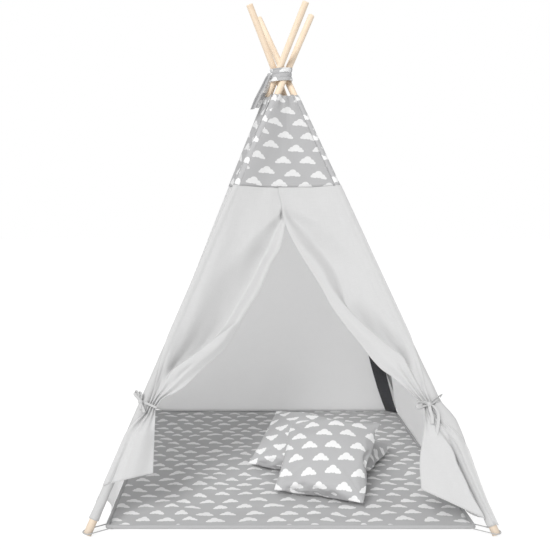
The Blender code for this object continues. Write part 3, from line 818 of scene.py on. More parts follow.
def crown_flat(face, across, down):
    height = crown_height(across, down)
    u = (across - 0.5) * wall_run(face, height)
    turned_u, turned_v = turn_flat(u, (height - 1.17) / SLOPE, PRINT_TURN)
    return (turned_u * 0.90 - 0.0325, turned_v * 0.92 - 0.0079)


def crown_seams(face):
    """Two rows at the seam and one at the rim, then one down each side."""
    rows = []
    for height in (SEAM - 0.001, SEAM + OVERLAP, RIM - 0.012):
        level = [crown_cloth(face, share, height) for share in steps(0.02, 0.98, 24)]
        rows.append([(point, face_normal(face)) for point in level])
    return rows + [side_seam(crown_cloth, face, side, SEAM, RIM - 0.006, 24) for side in (0, 1)]


for face in FACES:
    crown = make_cloth("crown_cloth_" + face, THIN_PRINT, (40, 44),
                       lambda a, d: crown_cloth(face, a, crown_height(a, d)),
                       lambda a, d: crown_flat(face, a, d))
    declare_stretched(face, RIM, SEAM, RIM - SEAM)
    on_face(crown, face, "printed_cotton", "crown_" + face)
    sew("crown_stitches_" + face, face, "printed_cotton", THREAD_GREY, crown_seams(face))
print("crown panels", len(FACES))

# %% [markdown]
# ## Corner tapes
#
# Inside the back corners a dark strip covers the seam. It starts on the inner side of the tunnel and lies
# on the back wall beside it, so it is made from the wall's own rule, a little further in. The strip is
# ironed flat and isn't quite straight. At the right its foot swings forward over the mat.

# %% Dark tapes
TAPE_TOP, TAPE_FOOT = SEAM - 0.022, 0.0160
TAPE_EDGES = {"back_right": (0.003, 0.036, 0.046), "back_left": (0.000, 0.034, 0.008)}


def tape_place(corner, across, down):
    near, far, flare = TAPE_EDGES[corner]
    height = mix(TAPE_TOP, TAPE_FOOT, down)
    low = ease((down - 0.5) * 2)
    wander = 0.0012 * noise_at(across * 0.4, height * 22, 2.2)
    from_pole = mix(near, far, across) + flare * mix(0.5 * low**4, low, across) + wander
    share = from_pole / wall_run("back", height)
    point = cloth_of_wall("back", share if corner == "back_right" else 1 - share, height, -0.0026)
    behind_tunnel = 0.012 * (1 - ease((from_pole - 0.008) / 0.014))
    behind_tunnel += math.sqrt(max(0.0165**2 - (from_pole + SEWN_INSET) ** 2, 0))
    swung = Vector((-0.014, -0.070, 0)) * ((1 - across) * low**3) if corner == "back_right" else Vector()
    return point - face_normal("back") * behind_tunnel + swung


for corner, (near, far, flare) in TAPE_EDGES.items():
    length = (TAPE_TOP - TAPE_FOOT) / along_pole(corner).z
    tape = make_cloth("seam_tape_" + corner, TAPE, (14, 90), lambda a, d: tape_place(corner, a, d),
                      lambda a, d: (a * (far - near), length * (1 - d)), 0.001)
    stands_for(tape, "leg_" + corner, "dark_tape", "corner_tape_" + corner)
    beside = pole_frame(corner, 0.5, EAST)
    tuple(beside.translation)
    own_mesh(tape)
print("tapes 2")

# %% [markdown]
# ## Door curtains
#
# The curtains carry most of the tent's character. Each is one cloth from the crown's seam to its hem, sewn
# to the pole's tunnel on one side, free on the other, and drawn in to a narrow gather at its tie. Simulation
# could drape them, but the photograph shows a particular set of folds, so they are placed by rule:
#
# - the free edge follows a curve read off the photograph, from the slit down to the tie;
# - next to the edge the cloth rolls over, and a valley runs beside the roll from the slit to the tie;
# - short pleats fan out of the tie, above and below it.
#
# Distances are kept in metres from the free edge, so the folds keep their width as the cloth narrows.

# %% Curves in the front face
TIE_HEIGHT = 0.349
TIE_BAND = 0.011
GATHER_WIDTH = 0.027
GATHER_DEPTH = 0.0050
FRONT_OUT = Vector((0, -CROSSING, FOOT)).normalized()


def front_point(x, height):
    left, right = pole_point("front_left", height), pole_point("front_right", height)
    return left.lerp(right, (x - left.x) / (right.x - left.x))


def smooth_curve(points, share):
    """A point on a smooth curve through the points, at this share of its length."""
    runs = [math.dist(a, b) for a, b in zip(points, points[1:])]
    target = share * sum(runs)
    i = 0
    while i < len(runs) - 1 and target > runs[i]:
        target -= runs[i]
        i += 1
    t = min(target / runs[i], 1.0)
    before = points[max(i - 1, 0)]
    after = points[min(i + 2, len(points) - 1)]
    start, end = points[i], points[i + 1]
    out = []
    for a, b, c, d in zip(before, start, end, after):
        out.append(0.5 * (2 * b + (c - a) * t + (2 * a - 5 * b + 4 * c - d) * t * t
                          + (3 * b - a - 3 * c + d) * t**3))
    return out


def tie_frame(side):
    """At the tie, Z runs up the pole and X points level across the front, towards the doorway."""
    return pole_frame("front_" + side, TIE_HEIGHT, EAST if side == "left" else -EAST)


print("height of the ties", TIE_HEIGHT)

# %% [markdown]
# The two curtains differ in their folds, so the shares and distances that shape them are kept in one table
# per side. Shares run from the crown's seam, 0, to the tie, 1. The line called roll is where the rolled edge
# meets the valley beside it.

# %% What the photograph shows of each curtain
CURTAINS = {
    "left": {
        "edge": [(0.010, 1.016), (0.006, 0.955), (0.0015, 0.891), (-0.0155, 0.814), (-0.0492, 0.759),
                 (-0.0895, 0.671), (-0.1285, 0.6145), (-0.1958, 0.5058), (-0.2613, 0.4491), (-0.316, 0.3998),
                 (-0.3555, 0.3746), (-0.3880, 0.3590)],
        "roll": [(-0.006, 1.016), (-0.0119, 0.9198), (-0.0437, 0.8499), (-0.0849, 0.772), (-0.1184, 0.7085),
                 (-0.1578, 0.6465), (-0.2152, 0.5588), (-0.2874, 0.497), (-0.3767, 0.4337),
                 (-0.4350, 0.3635)],
        "depth": [(0.10, 0.0), (0.17, 0.017), (0.30, 0.035), (0.50, 0.041), (0.68, 0.041), (0.82, 0.028),
                  (0.94, 0.007), (1.0, 0.0)],
        "soft": [(0.10, 0.020), (0.25, 0.075), (0.45, 0.120), (0.65, 0.110), (0.80, 0.070), (1.0, 0.02)],
        "rise": [(0.10, 0.014), (0.25, 0.060), (0.50, 0.060), (0.68, 0.012), (1.0, 0.007)],
        "swell": [(0.10, 0.0), (0.25, 0.006), (0.50, 0.010), (0.72, 0.014), (0.88, 0.010), (1.0, 0.002)],
        "crease": [(0.76, 0.0), (0.85, 0.006), (0.93, 0.006), (1.0, 0.0)],
        "crease_at": 0.50,
        "round": 0.92,
        "hem_inner": (-0.4100, 0.1610),
        "hem_outer": 0.1300,
    },
    "right": {
        "edge": [(-0.0190, 1.016), (-0.0172, 0.9948), (-0.0096, 0.9605), (0.0008, 0.8936), (0.0372, 0.8139),
                 (0.0813, 0.7401), (0.1162, 0.6836), (0.1455, 0.6281), (0.196, 0.5597), (0.2334, 0.5146),
                 (0.2642, 0.4738), (0.2948, 0.4411), (0.3239, 0.4212), (0.3605, 0.3894), (0.3880, 0.3640)],
        "roll": [(-0.006, 1.016), (0.0180, 0.9232), (0.0500, 0.8936), (0.1180, 0.817), (0.1660, 0.747),
                 (0.1860, 0.690), (0.2020, 0.627), (0.2661, 0.5618), (0.3259, 0.5087), (0.3851, 0.4623),
                 (0.4290, 0.4054), (0.4360, 0.3635)],
        "depth": [(0.08, 0.0), (0.15, 0.016), (0.28, 0.030), (0.42, 0.024), (0.52, 0.022), (0.66, 0.028),
                  (0.82, 0.024), (0.94, 0.006), (1.0, 0.0)],
        "soft": [(0.08, 0.03), (0.20, 0.095), (0.40, 0.110), (0.52, 0.080), (0.75, 0.070), (1.0, 0.02)],
        "rise": [(0.08, 0.020), (0.25, 0.060), (0.42, 0.050), (0.55, 0.010), (1.0, 0.006)],
        "swell": [(0.08, 0.0), (0.25, 0.003), (0.45, 0.004), (0.65, 0.010), (0.85, 0.010), (1.0, 0.002)],
        "crease": [(0.80, 0.0), (0.88, 0.007), (0.96, 0.006), (1.0, 0.0)],
        "crease_at": 0.40,
        "round": 0.85,
        "hem_inner": (0.3850, 0.1184),
        "hem_outer": 0.0300,
    },
}
print("points on the free edges", [len(shape["edge"]) for shape in CURTAINS.values()])

# %% [markdown]
# The rule for a point: find the row's two ends, walk across between them, then push the point out or in by
# the folds. Above the tie the rows run from the tunnel to the free edge, and below it they fan out again.

# %% Where the rows of a curtain run
WRAP_START = 0.0140
WRAP_RADIUS = 0.0165


class Curtain:
    UPPER, HELD, SKIRT = 110, 4, 44

    def __init__(self, side):
        self.side = side
        self.corner = "front_" + side
        self.shape = CURTAINS[side]
        self.across = tie_frame(side).col[0].to_3d()
        self.tie_top = TIE_HEIGHT + TIE_BAND / 2
        self.tie_bottom = TIE_HEIGHT - TIE_BAND / 2
        self.rows = self.UPPER + self.HELD + self.SKIRT

    def slack(self, height):
        return table(SLACK, height) if self.side == "right" else 0.0

    def outer_edge(self, height):
        """The outer side of the tunnel, where the cloth that covers its front begins."""
        other = "front_right" if self.side == "left" else "front_left"
        across = (pole_point(other, height) - pole_point(self.corner, height)).normalized()
        reach = WRAP_START * (WRAP_RADIUS + self.slack(height)) / WRAP_RADIUS
        reach /= along_pole(self.corner).cross(across).length
        return pole_point(self.corner, height) - across * reach

    def held_edge(self, height):
        return pole_point(self.corner, height) + self.across * (SLEEVE_RADIUS + GAP)

    def gathered_edge(self, height):
        return self.held_edge(height) + self.across * GATHER_WIDTH

    def ends(self, down):
        """The row's two ends, its zone and its share of that zone."""
        row = down * self.rows
        if row <= self.UPPER:
            share = row / self.UPPER
            height = mix(SEAM - 0.001, self.tie_top, share)
            sewn = self.outer_edge(height).lerp(self.held_edge(height), ease((share - 0.7) / 0.3))
            tied = self.gathered_edge(self.tie_top)
            path = self.shape["edge"] + [(tied.x, tied.z)]
            return sewn, front_point(*smooth_curve(path, share)), "upper", share
        if row <= self.UPPER + self.HELD:
            share = (row - self.UPPER) / self.HELD
            height = mix(self.tie_top, self.tie_bottom, share)
            return self.held_edge(height), self.gathered_edge(height), "held", share
        share = (row - self.UPPER - self.HELD) / self.SKIRT
        height = mix(self.tie_bottom, self.shape["hem_outer"], share)
        sewn = self.held_edge(height).lerp(self.outer_edge(height), ease(share * 2.5))
        knot = self.gathered_edge(self.tie_bottom)
        inner_x, inner_height = self.shape["hem_inner"]
        x = mix(knot.x, inner_x, ease(share * 1.3))
        return sewn, front_point(x, mix(knot.z, inner_height, share)), "skirt", share


DOORS = {side: Curtain(side) for side in ("left", "right")}
print("rows of a curtain", DOORS["left"].rows)

# %% [markdown]
# The rolled edge meets the valley in a crease, and a crease is only as sharp as the grid is fine there. So
# the border between the two is found for every row, by where the row crosses the line called roll, and the
# grid's columns crowd together at it.

# %% The roll's border
ROLL_COLUMN = 0.62


def find_border(curtain):
    """For each upper row, the share across at which it meets the roll's border."""
    line = [smooth_curve(curtain.shape["roll"], share) for share in steps(0, 1, 80)]
    found = []
    for row in range(curtain.UPPER + 1):
        sewn, free = curtain.ends(row / curtain.rows)[:2]
        run_x, run_z = free.x - sewn.x, free.z - sewn.z
        side = [(x - sewn.x) * run_z - (z - sewn.z) * run_x for x, z in line]
        hit = None
        for i in range(80):
            if side[i] * side[i + 1] <= 0 and side[i] != side[i + 1]:
                x = mix(line[i][0], line[i + 1][0], side[i] / (side[i] - side[i + 1]))
                hit = min(max((x - sewn.x) / run_x, 0.30), 0.97)
                break
        found.append(hit if hit is not None else (found[-1] if found else 0.9))
    smooth = []
    for i in range(len(found)):
        around = found[max(i - 2, 0):i + 3]
        smooth.append(sum(around) / len(around))
    return smooth


BORDERS = {side: find_border(curtain) for side, curtain in DOORS.items()}


def border_at(curtain, down):
    border = BORDERS[curtain.side]
    row = min(down * curtain.rows, curtain.UPPER)
    i = min(int(row), curtain.UPPER - 1)
    return mix(border[i], border[i + 1], row - i)


def spread(curtain, across, down):
    """From the grid's column to the share across, with columns crowded at the roll's border."""
    border = border_at(curtain, down)
    if across <= ROLL_COLUMN:
        return border * (1 - (1 - across / ROLL_COLUMN) ** 1.4)
    return border + (1 - border) * ((across - ROLL_COLUMN) / (1 - ROLL_COLUMN)) ** 1.25


print("roll's border near the middle", [round(found[55], 2) for found in BORDERS.values()])

# %% [markdown]
# A fold is only a distance out of the front face. Above the tie it is a valley, then the roll, and close to
# the tie a row of pleats takes over. Below the tie the cloth opens into one broad fold, which at the right
# is sharp and turns back under itself.

# %% The folds of a curtain
def pleats(at, depth):
    return depth * math.sin(math.tau * 3.25 * at) * ease(at * 6)


def fold_above_tie(curtain, at, down, share, width):
    shape = curtain.shape
    border = border_at(curtain, down)
    beside = (at - border) * width
    roll = (1 - border) * width
    depth, swell = table(shape["depth"], share), table(shape["swell"], share)
    if beside < 0:
        fold = -depth * (1 - ease(-beside / min(table(shape["soft"], share), border * width * 0.9))) ** 1.25
    else:
        rise = min(table(shape["rise"], share), roll * shape["round"])
        fold = -depth + (depth + swell * 0.6) * ease(beside / rise)
        fold += swell * 0.7 * math.sin(math.pi * min(beside / roll, 1))
        fold -= 0.006 * ease((beside / roll - 0.6) / 0.4) * ease((share - 0.5) / 0.2)
        middle = (beside / roll - shape["crease_at"]) * roll
        fold -= table(shape["crease"], share) * math.exp(-((middle / 0.007) ** 2))
    near_tie = ease((share - 0.80) / 0.20)
    fold = fold * (1 - near_tie) + pleats(at, GATHER_DEPTH) * near_tie
    drape = 0.005 * noise_at(at * 3.0, share * 2.2, 4.0 if curtain.side == "left" else 9.0)
    fan = 0.0022 * math.sin(at * 26) * ease((share - 0.45) / 0.4) * ease(at * 5) * ease((border - at) * 6)
    fold += (drape * ease(at * 4) + fan) * ease(share * 6) * (1 - near_tie)
    fold *= ease((at * width - 0.016) / 0.03) * (1 - near_tie) + near_tie
    return fold * ease((share - 0.01) * 12), near_tie


def fold_of_skirt(curtain, at, share, width):
    opening = ease(share * 2.2)
    held = pleats(at, GATHER_DEPTH) * (1 - opening)
    if curtain.side == "left":
        fold = 0.013 * ease((at - 0.16) / 0.25) * (1 - 0.6 * ease((at - 0.55) / 0.45))
        fold -= 0.004 * math.exp(-(((at - 0.17) / 0.06) ** 2))
        fold += 0.003 * math.sin(at * 9 + share * 2)
    else:
        line = table([(0.0, 0.48), (0.35, 0.40), (0.50, 0.34), (0.75, 0.24), (1.0, 0.16)], share)
        sharp = ease((share - 0.25) / 0.2)
        fold = 0.022 * ease((at - line) / mix(0.20, 0.04, sharp)) * (1 - 0.5 * ease((at - 0.40) / 0.60))
        fold -= 0.020 * math.exp(-(((at - line * 0.80) / 0.055) ** 2)) * sharp
        fold += 0.0035 * math.sin(at * 7 + share * 3)
    return held + fold * opening * ease(at * width / 0.05), 1 - opening


print("pleats stand out by", GATHER_DEPTH, "m")

# %% [markdown]
# The whole cloth is now a walk along each row, with the fold added outwards. It also has to clear the tunnel
# that it covers, so each point stands off by the tunnel's roundness beside it.

# %% Two curtains
def stand_off(curtain, sewn, away, top, tie):
    """How far the cloth stands out to clear the tunnel, from the row's start and the way along it."""
    start = (sewn - pole_point(curtain.corner, sewn.z)).dot(curtain.across)
    beside = start + away
    if beside < 0:
        beside *= WRAP_RADIUS / (WRAP_RADIUS + curtain.slack(sewn.z))
    radius = mix(SLEEVE_RADIUS + 0.001, WRAP_RADIUS, top)
    round_tunnel = math.sqrt(max(radius**2 - beside**2, 0))
    lift = sewn_lift(max(beside - SEWN_INSET, 0)) * (1 - tie)
    return max(round_tunnel, lift) * (1 - 0.6 * ease(tie * 2 - 1))


def curtain_point(curtain, at, down):
    sewn, free, zone, share = curtain.ends(down)
    width = (free - sewn).length
    if zone == "upper":
        fold, tie = fold_above_tie(curtain, at, down, share, width)
        if curtain.side == "left":
            fold -= 0.0036 * (1 - ease((share - 0.16) * 6)) * ease((0.06 - (1 - at) * width) / 0.04)
            dent = ((1 - at) * width - 0.012) / 0.006
            fold -= 0.018 * math.exp(-dent * dent - ((share - 0.118) / 0.018) ** 2)
        fold += stand_off(curtain, sewn, at * width, ease(share / 0.012), tie)
    elif zone == "held":
        fold = pleats(at, GATHER_DEPTH)
    else:
        fold, tie = fold_of_skirt(curtain, at, share, width)
        fold += stand_off(curtain, sewn, at * width, 1.0, tie)
    return sewn.lerp(free, at) + FRONT_OUT * fold


def curtain_flat(curtain, at, down):
    """Where the point lay on the flat cloth: half of the front face, cut down the middle."""
    side = -1 if curtain.side == "left" else 1
    return (side * mix(0.17, 0.53, down) * (1 - at), mix(SEAM, 0.10, down) / SLOPE)


for side, curtain in DOORS.items():
    bm = cloth_grid(110, curtain.rows, lambda a, d: curtain_point(curtain, spread(curtain, a, d), d),
                    lambda a, d: curtain_flat(curtain, spread(curtain, a, d), d))
    if side == "right":
        bmesh.ops.reverse_faces(bm, faces=bm.faces)
    piece = piece_from(bm, "curtain_" + side, CURTAIN_COTTON, math.radians(75))
    thicken(piece, CLOTH)
    on_face(piece, "front", "plain_cotton", "door_" + side)
    print("curtain", side, "area", round(mesh_area(piece), 3), "m2")

# %% [markdown]
# The free edges and hems are turned and sewn. A thin tube of cloth along each of them stands for the turned
# edge, and a row of stitches runs beside it.

# %% A tube along a line
def edge_tube(name, points, radius, material):
    path = bpy.data.curves.new(name, "CURVE")
    path.dimensions = "3D"
    path.bevel_depth = radius
    path.bevel_resolution = 2
    path.use_fill_caps = True
    spline = path.splines.new("POLY")
    spline.points.add(len(points) - 1)
    for knot, point in zip(spline.points, points):
        knot.co = (*point, 1)
    drawn = bpy.data.objects.new(name, path)
    bpy.context.scene.collection.objects.link(drawn)
    graph = bpy.context.evaluated_depsgraph_get()
    mesh = bpy.data.meshes.new_from_object(drawn.evaluated_get(graph))
    bpy.data.objects.remove(drawn, do_unlink=True)
    mesh.materials.clear()
    mesh.materials.append(material)
    flat = mesh.uv_layers.new(name="flat") if not mesh.uv_layers else mesh.uv_layers[0]
    flat.name = "flat"
    for loop in mesh.loops:
        co = mesh.vertices[loop.vertex_index].co
        flat.data[loop.index].uv = (co.x + co.y, co.z)
    mesh.shade_smooth()
    tube = bpy.data.objects.new(name, mesh)
    bpy.context.scene.collection.objects.link(tube)
    return tube


print("tubes ready")

# %% Turned edges of the curtains
HEM_RADIUS = 0.0009
HEM_SEAM = 0.985


def beside_edge(curtain, start, end, count, from_sewn=0.0, from_free=0.0):
    """A row of stitches at a steady distance from the sewn or the free edge."""
    row = []
    for down in steps(start, end, count):
        sewn, free = curtain.ends(down)[:2]
        width = (free - sewn).length
        at = 1 - from_free / width if from_free else from_sewn / width
        row.append((curtain_point(curtain, at, down), FRONT_OUT))
    return row


for side, curtain in DOORS.items():
    upper_end = (curtain.UPPER - 6) / curtain.rows
    skirt_start = (curtain.UPPER + curtain.HELD + 5) / curtain.rows
    free = [curtain_point(curtain, 1.0, down) for down in steps(0, upper_end, 120)[1:]]
    inner = [curtain_point(curtain, 1.0, down) for down in steps(skirt_start, 1.0, 40)]
    hem = [curtain_point(curtain, at, 1.0) for at in steps(1, 0, 60)[1:]]
    for label, points in (("free_edge_", free), ("skirt_edge_", inner + hem)):
        on_face(edge_tube(label + side, points, HEM_RADIUS, CURTAIN_COTTON), "front", "plain_cotton")
    rows = [beside_edge(curtain, 0.02, upper_end, 90, from_free=0.009),
            beside_edge(curtain, skirt_start, HEM_SEAM, 90, from_free=0.009),
            [(curtain_point(curtain, at, HEM_SEAM), FRONT_OUT) for at in steps(0.04, 0.96, 50)],
            beside_edge(curtain, 0.005, upper_end * 0.96, 59, from_sewn=0.024)]
    sew("curtain_stitches_" + side, "front", "plain_cotton", THREAD_PALE, rows)
print("turned edges 4")

# %% [markdown]
# ## Ties
#
# Each curtain is held by a narrow ribbon that leaves the corner seam, goes round the gathered cloth and
# ends in a small bow. The ribbon is a strip swept along a line: part of a circle round the pole, part of a
# smaller one round the gather, and the two straight runs that touch both.

# %% A ribbon along a line
TIE_EASE = 0.0015
TIE_BIG = SLEEVE_RADIUS + TIE_EASE
TIE_SMALL = GATHER_DEPTH + CLOTH + TIE_EASE
TIE_REACH = SLEEVE_RADIUS + GATHER_WIDTH - GATHER_DEPTH
TIE_SLOPE = math.acos((TIE_BIG - TIE_SMALL) / TIE_REACH)
TIE_WALL = 0.0014
TIE_WIDTH = 0.0078
RIBBON = 0.0102


def arc(centre_x, radius, start, end):
    return [EAST * centre_x + towards(angle) * radius for angle in steps(start, end, 14)]


def band_line(start):
    """Round the pole from the angle start, round the gather beside it, and back to the pole."""
    big, small = TIE_BIG + TIE_WALL / 2, TIE_SMALL + TIE_WALL / 2
    round_pole = arc(0, big, start, math.tau - TIE_SLOPE)
    round_gather = arc(TIE_REACH, small, -TIE_SLOPE, TIE_SLOPE)
    return round_pole + round_gather + [towards(TIE_SLOPE) * big]


def ribbon(name, line, breadth, width, thickness, side, *nodes, **facts):
    """A strip of cloth along a line. The facts given are not used."""
    def place(across, down):
        at = down * (len(line) - 1)
        i = min(int(at), len(line) - 2)
        return line[i].lerp(line[i + 1], at - i) + breadth * ((across - 0.5) * width)

    length = sum((b - a).length for a, b in zip(line, line[1:]))
    strip = make_cloth(name, DOUBLED_PAINTED_SHADE, (5, len(line) * 2), place,
                       lambda a, d: (a * width, d * length), thickness)
    stands_for(strip, "leg_front_" + side, "plain_cotton", *nodes)


def make_band(side):
    placed = tie_frame(side)
    backwards = pole_point("back_" + side, TIE_HEIGHT) - pole_point("front_" + side, TIE_HEIGHT)
    backwards = placed.to_3x3().inverted() @ backwards
    start = math.atan2(abs(backwards.y), backwards.x) + math.asin((CLOTH / 2 + TIE_EASE) / TIE_BIG)
    flip = 1 if side == "left" else -1
    line = [placed @ Vector((point.x, point.y * flip, 0)) for point in band_line(start)]
    ribbon("tie_ribbon_" + side, line, placed.col[2].to_3d(), TIE_WIDTH, TIE_WALL, side, "tie_band_" + side,
           held="stretched", rests_on=["curtain_" + side])


print("points along a ribbon", len(band_line(0)))

# %% [markdown]
# A bow is a knot with two eyes and two tails. The knot is a ball, flattened, grooved where the ribbon crosses
# itself and rippled by noise. The eyes and tails are the same kind of strip as the ribbon, along lines that
# are given in the front face as steps to the right and up from the knot.

# %% The knot
KNOT_SHARE = 0.62
KNOT_RADIUS = 0.0085


def knot_middle(side):
    pole = pole_point("front_" + side, TIE_HEIGHT)
    if side == "left":
        return pole - EAST * 0.009 + FRONT_OUT * (TIE_BIG + TIE_WALL + 0.0045)
    placed = tie_frame(side).to_3x3()
    across = placed.col[0]
    forward = placed.col[1] if placed.col[1].dot(FRONT_OUT) > 0 else -placed.col[1]
    normal = across * math.cos(TIE_SLOPE) + forward * math.sin(TIE_SLOPE)
    stand = mix(TIE_BIG, TIE_SMALL, KNOT_SHARE) + TIE_WALL + KNOT_RADIUS * 0.75
    return pole + across * (TIE_REACH * KNOT_SHARE) + normal * stand


def make_knot(side, middle):
    bm = bmesh.new()
    bmesh.ops.create_uvsphere(bm, u_segments=28, v_segments=18, radius=1.0)
    uv = bm.loops.layers.uv.verify()
    for point in bm.verts:
        around = math.atan2(point.co.z, point.co.x)
        groove = 1 - 0.13 * math.exp(-(((point.co.x + 0.35 * point.co.z) / 0.16) ** 2))
        ripple = 1 + 0.05 * math.sin(around * 5) + 0.08 * noise.noise(point.co * 2.4)
        flattened = Vector((point.co.x * 0.86, point.co.y * 0.72, point.co.z * 1.05))
        point.co = flattened * (KNOT_RADIUS * groove * ripple)
    for face in bm.faces:
        for loop in face.loops:
            loop[uv].uv = (loop.vert.co.x, loop.vert.co.z)
    bmesh.ops.translate(bm, verts=bm.verts, vec=middle)
    knot = piece_from(bm, "tie_knot_" + side, DOUBLED_PAINTED_SHADE, math.radians(70))
    knot.data.uv_layers[0].name = "flat"
    stands_for(knot, "leg_front_" + side, "plain_cotton", "tie_bow_" + side)


print("knot at the right", [round(value, 3) for value in knot_middle("right")])

# %% Ribbons and bows
RISE = FRONT_OUT.cross(EAST)
STRIP = 0.0011
BOWS = {
    "left": {
        "eye": [[(0, 0), (-0.008, 0.012), (-0.019, 0.024), (-0.015, 0.031), (-0.005, 0.019), (0, 0)],
                [(0, 0), (0.003, 0.013), (0.001, 0.024), (-0.007, 0.027), (-0.006, 0.012), (0, 0)]],
        "tail": [[(0, 0), (0.004, -0.010), (0.009, -0.020), (0.013, -0.031)],
                 [(0, 0), (0.001, -0.008), (0.000, -0.015), (0.003, -0.022)]],
    },
    "right": {
        "eye": [[(0, 0), (-0.016, 0.006), (-0.034, 0.003), (-0.040, -0.006), (-0.030, -0.012),
                 (-0.012, -0.006), (0, 0)],
                [(0, 0), (0.012, 0.010), (0.027, 0.021), (0.040, 0.027), (0.032, 0.016), (0.014, 0.003),
                 (0, 0)]],
        "tail": [[(0, 0), (0.001, -0.018), (0.005, -0.036), (0.004, -0.058)],
                 [(0, 0), (0.013, -0.006), (0.024, -0.026), (0.021, -0.060), (0.010, -0.100)]],
    },
}
STRIPS = {
    "eye": (0.004, FRONT_OUT * 0.6 + RISE * 0.6 + EAST * 0.5, "folded"),
    "tail": (0.003, EAST * 0.92 + FRONT_OUT * 0.35, "hung"),
}


def strip_line(middle, places, lift):
    """From places in the front face to a smooth line that stands off it in the middle."""
    points = []
    for i, (right, up) in enumerate(places):
        off = lift * math.sin(math.pi * i / (len(places) - 1))
        points.append(tuple(middle + EAST * right + RISE * up + FRONT_OUT * off))
    return [Vector(smooth_curve(points, share)) for share in steps(0, 1, 24)]


for side in ("left", "right"):
    make_band(side)
    make_knot(side, knot_middle(side))
    for kind, (lift, breadth, held) in STRIPS.items():
        for number, places in enumerate(BOWS[side][kind]):
            ribbon("tie_%s_%s_%d" % (kind, side, number), strip_line(knot_middle(side), places, lift),
                   breadth.normalized(), RIBBON, STRIP, side, held=held, rests_on=["tie_knot_" + side])
print("ties 2")

# %% [markdown]
# ## Lashing
#
# Above the crown a long strip of the printed cloth is wound round all four poles and its end hangs down on
# the left. The winding is a ring whose wall bulges in three turns, rolled unevenly. The end is folded
# lengthwise, so a wave runs across it and one of its edges turns under.

# %% Wound band
LASH_HEIGHT = 0.046


def lash_radius(offset):
    """How far from the middle the poles' outsides reach, at this height above or below their crossing."""
    spread = math.tan(LEAN) * offset
    reach = POLE_RADIUS / math.cos(LEAN)
    far = []
    for angle in steps(0, math.tau, 20):
        far.append(math.hypot(spread + reach * math.cos(angle), PINWHEEL + POLE_RADIUS * math.sin(angle)))
    return max(far) + GAP


def lash_place(around, down):
    angle = math.tau * around
    height = LASH_HEIGHT * (0.5 - down)
    tilt = 0.003 * math.sin(angle + 0.8)
    turns = abs(math.sin(math.pi * (down * 3 + around)))
    wander = noise_at(math.cos(angle) * 2.4, math.sin(angle) * 2.4, height * 60)
    out = lash_radius(height) + 0.0012 + 0.0022 * turns**0.6 + 0.0010 * wander
    return towards(angle) * out + UP * (CROSSING + height + tilt)


def lash_flat(around, down):
    along = around * math.tau * 0.038 + down * 0.02 + 0.037
    return (along, (0.5 - down) * LASH_HEIGHT + 0.018 * (around - 0.75) + 0.0448)


STRIP_THICKNESS = 0.0016
winding = cloth_grid(96, 30, lash_place, lash_flat, wrap=True)
lash = piece_from(winding, "lash_winding", PRINT, math.radians(60))
thicken(lash, STRIP_THICKNESS, -1.0)
stands_for(lash, "head", "printed_cotton", "lash_band")
print("lashing", LASH_HEIGHT, "m high")

# %% Hanging end
TAIL_LINE = [(-0.041, -0.014, 1.436), (-0.060, -0.016, 1.390), (-0.083, -0.014, 1.345),
             (-0.1005, -0.012, 1.306)]
TAIL_WIDTH = 0.027
TAIL_BREADTH = Vector((0.92, -0.39, 0))
TAIL_FORWARD = Vector((-0.39, -0.92, 0))


def tail_place(across, down):
    middle = Vector(smooth_curve(TAIL_LINE, down))
    wide = TAIL_WIDTH * mix(0.70, 1.0, ease(down * 2))
    folded = 0.0055 * math.cos(across * math.tau * 1.25 + 0.6) - 0.012 * ease((across - 0.72) / 0.28)
    ripple = 0.0016 * noise_at(across * 3, down * 6, 8.2)
    slant = UP * (0.006 * (across - 0.5) * ease(down * 3 - 2))
    forward = TAIL_FORWARD * ((folded + ripple) * ease(down * 5))
    return middle + TAIL_BREADTH * ((across - 0.5) * wide) + forward + slant


tail = make_cloth("lash_end", PRINT, (20, 48), tail_place,
                  lambda a, d: (d * 0.15 + 0.02, a * 0.030 + 0.034), STRIP_THICKNESS)
stands_for(tail, "head", "printed_cotton", "lash_tail")

# %% [markdown]
# ## Floor mat
#
# The mat is two layers of the printed cloth with thin wadding, bound all round and looped to the pole feet.
# It lies flat, but its top is never quite level, so the grid's points rise and fall by a millimetre in soft
# patches, with a few longer wrinkles towards the corners where the loops pull.

# %% The mat's top
MAT_THICKNESS = 0.012
BORDER = 0.012
UNBOUND_HALF = MAT_HALF - BORDER * 0.55
PRINT_X, PRINT_Y = 0.012, 0.006


def mat_height(x, y):
    """Never above the mat's own thickness, so that what lies on it stays clear."""
    soft = abs(noise_at(x * 5, y * 8, 0.4)) * -0.0062
    small = abs(noise_at(x * 13, y * 24, 2.4)) * -0.0026
    pull = 0.0
    for side_x in (-1, 1):
        for side_y in (-1, 1):
            dx, dy = x - side_x * MAT_HALF, y - side_y * MAT_HALF
            away = math.hypot(dx, dy)
            pull += 0.0011 * math.sin(math.atan2(dy * side_y, dx * side_x) * 14) * math.exp(-away / 0.16)
    return MAT_THICKNESS - 0.0006 + soft + small + min(pull, 0)


def mat_xy(across, down):
    return mix(-UNBOUND_HALF, UNBOUND_HALF, across), mix(UNBOUND_HALF, -UNBOUND_HALF, down)


def mat_place(across, down):
    x, y = mat_xy(across, down)
    edge = UNBOUND_HALF - max(abs(x), abs(y))
    drop = 0.0035 * (1 - ease(edge / 0.012))
    return Vector((x, y, mat_height(x, y) - drop))


# Blender draws the offsets of noise_vector anew at each start, unless they come from a seed.
PRINT_SEED = 1795893797
noise.seed_set(PRINT_SEED)


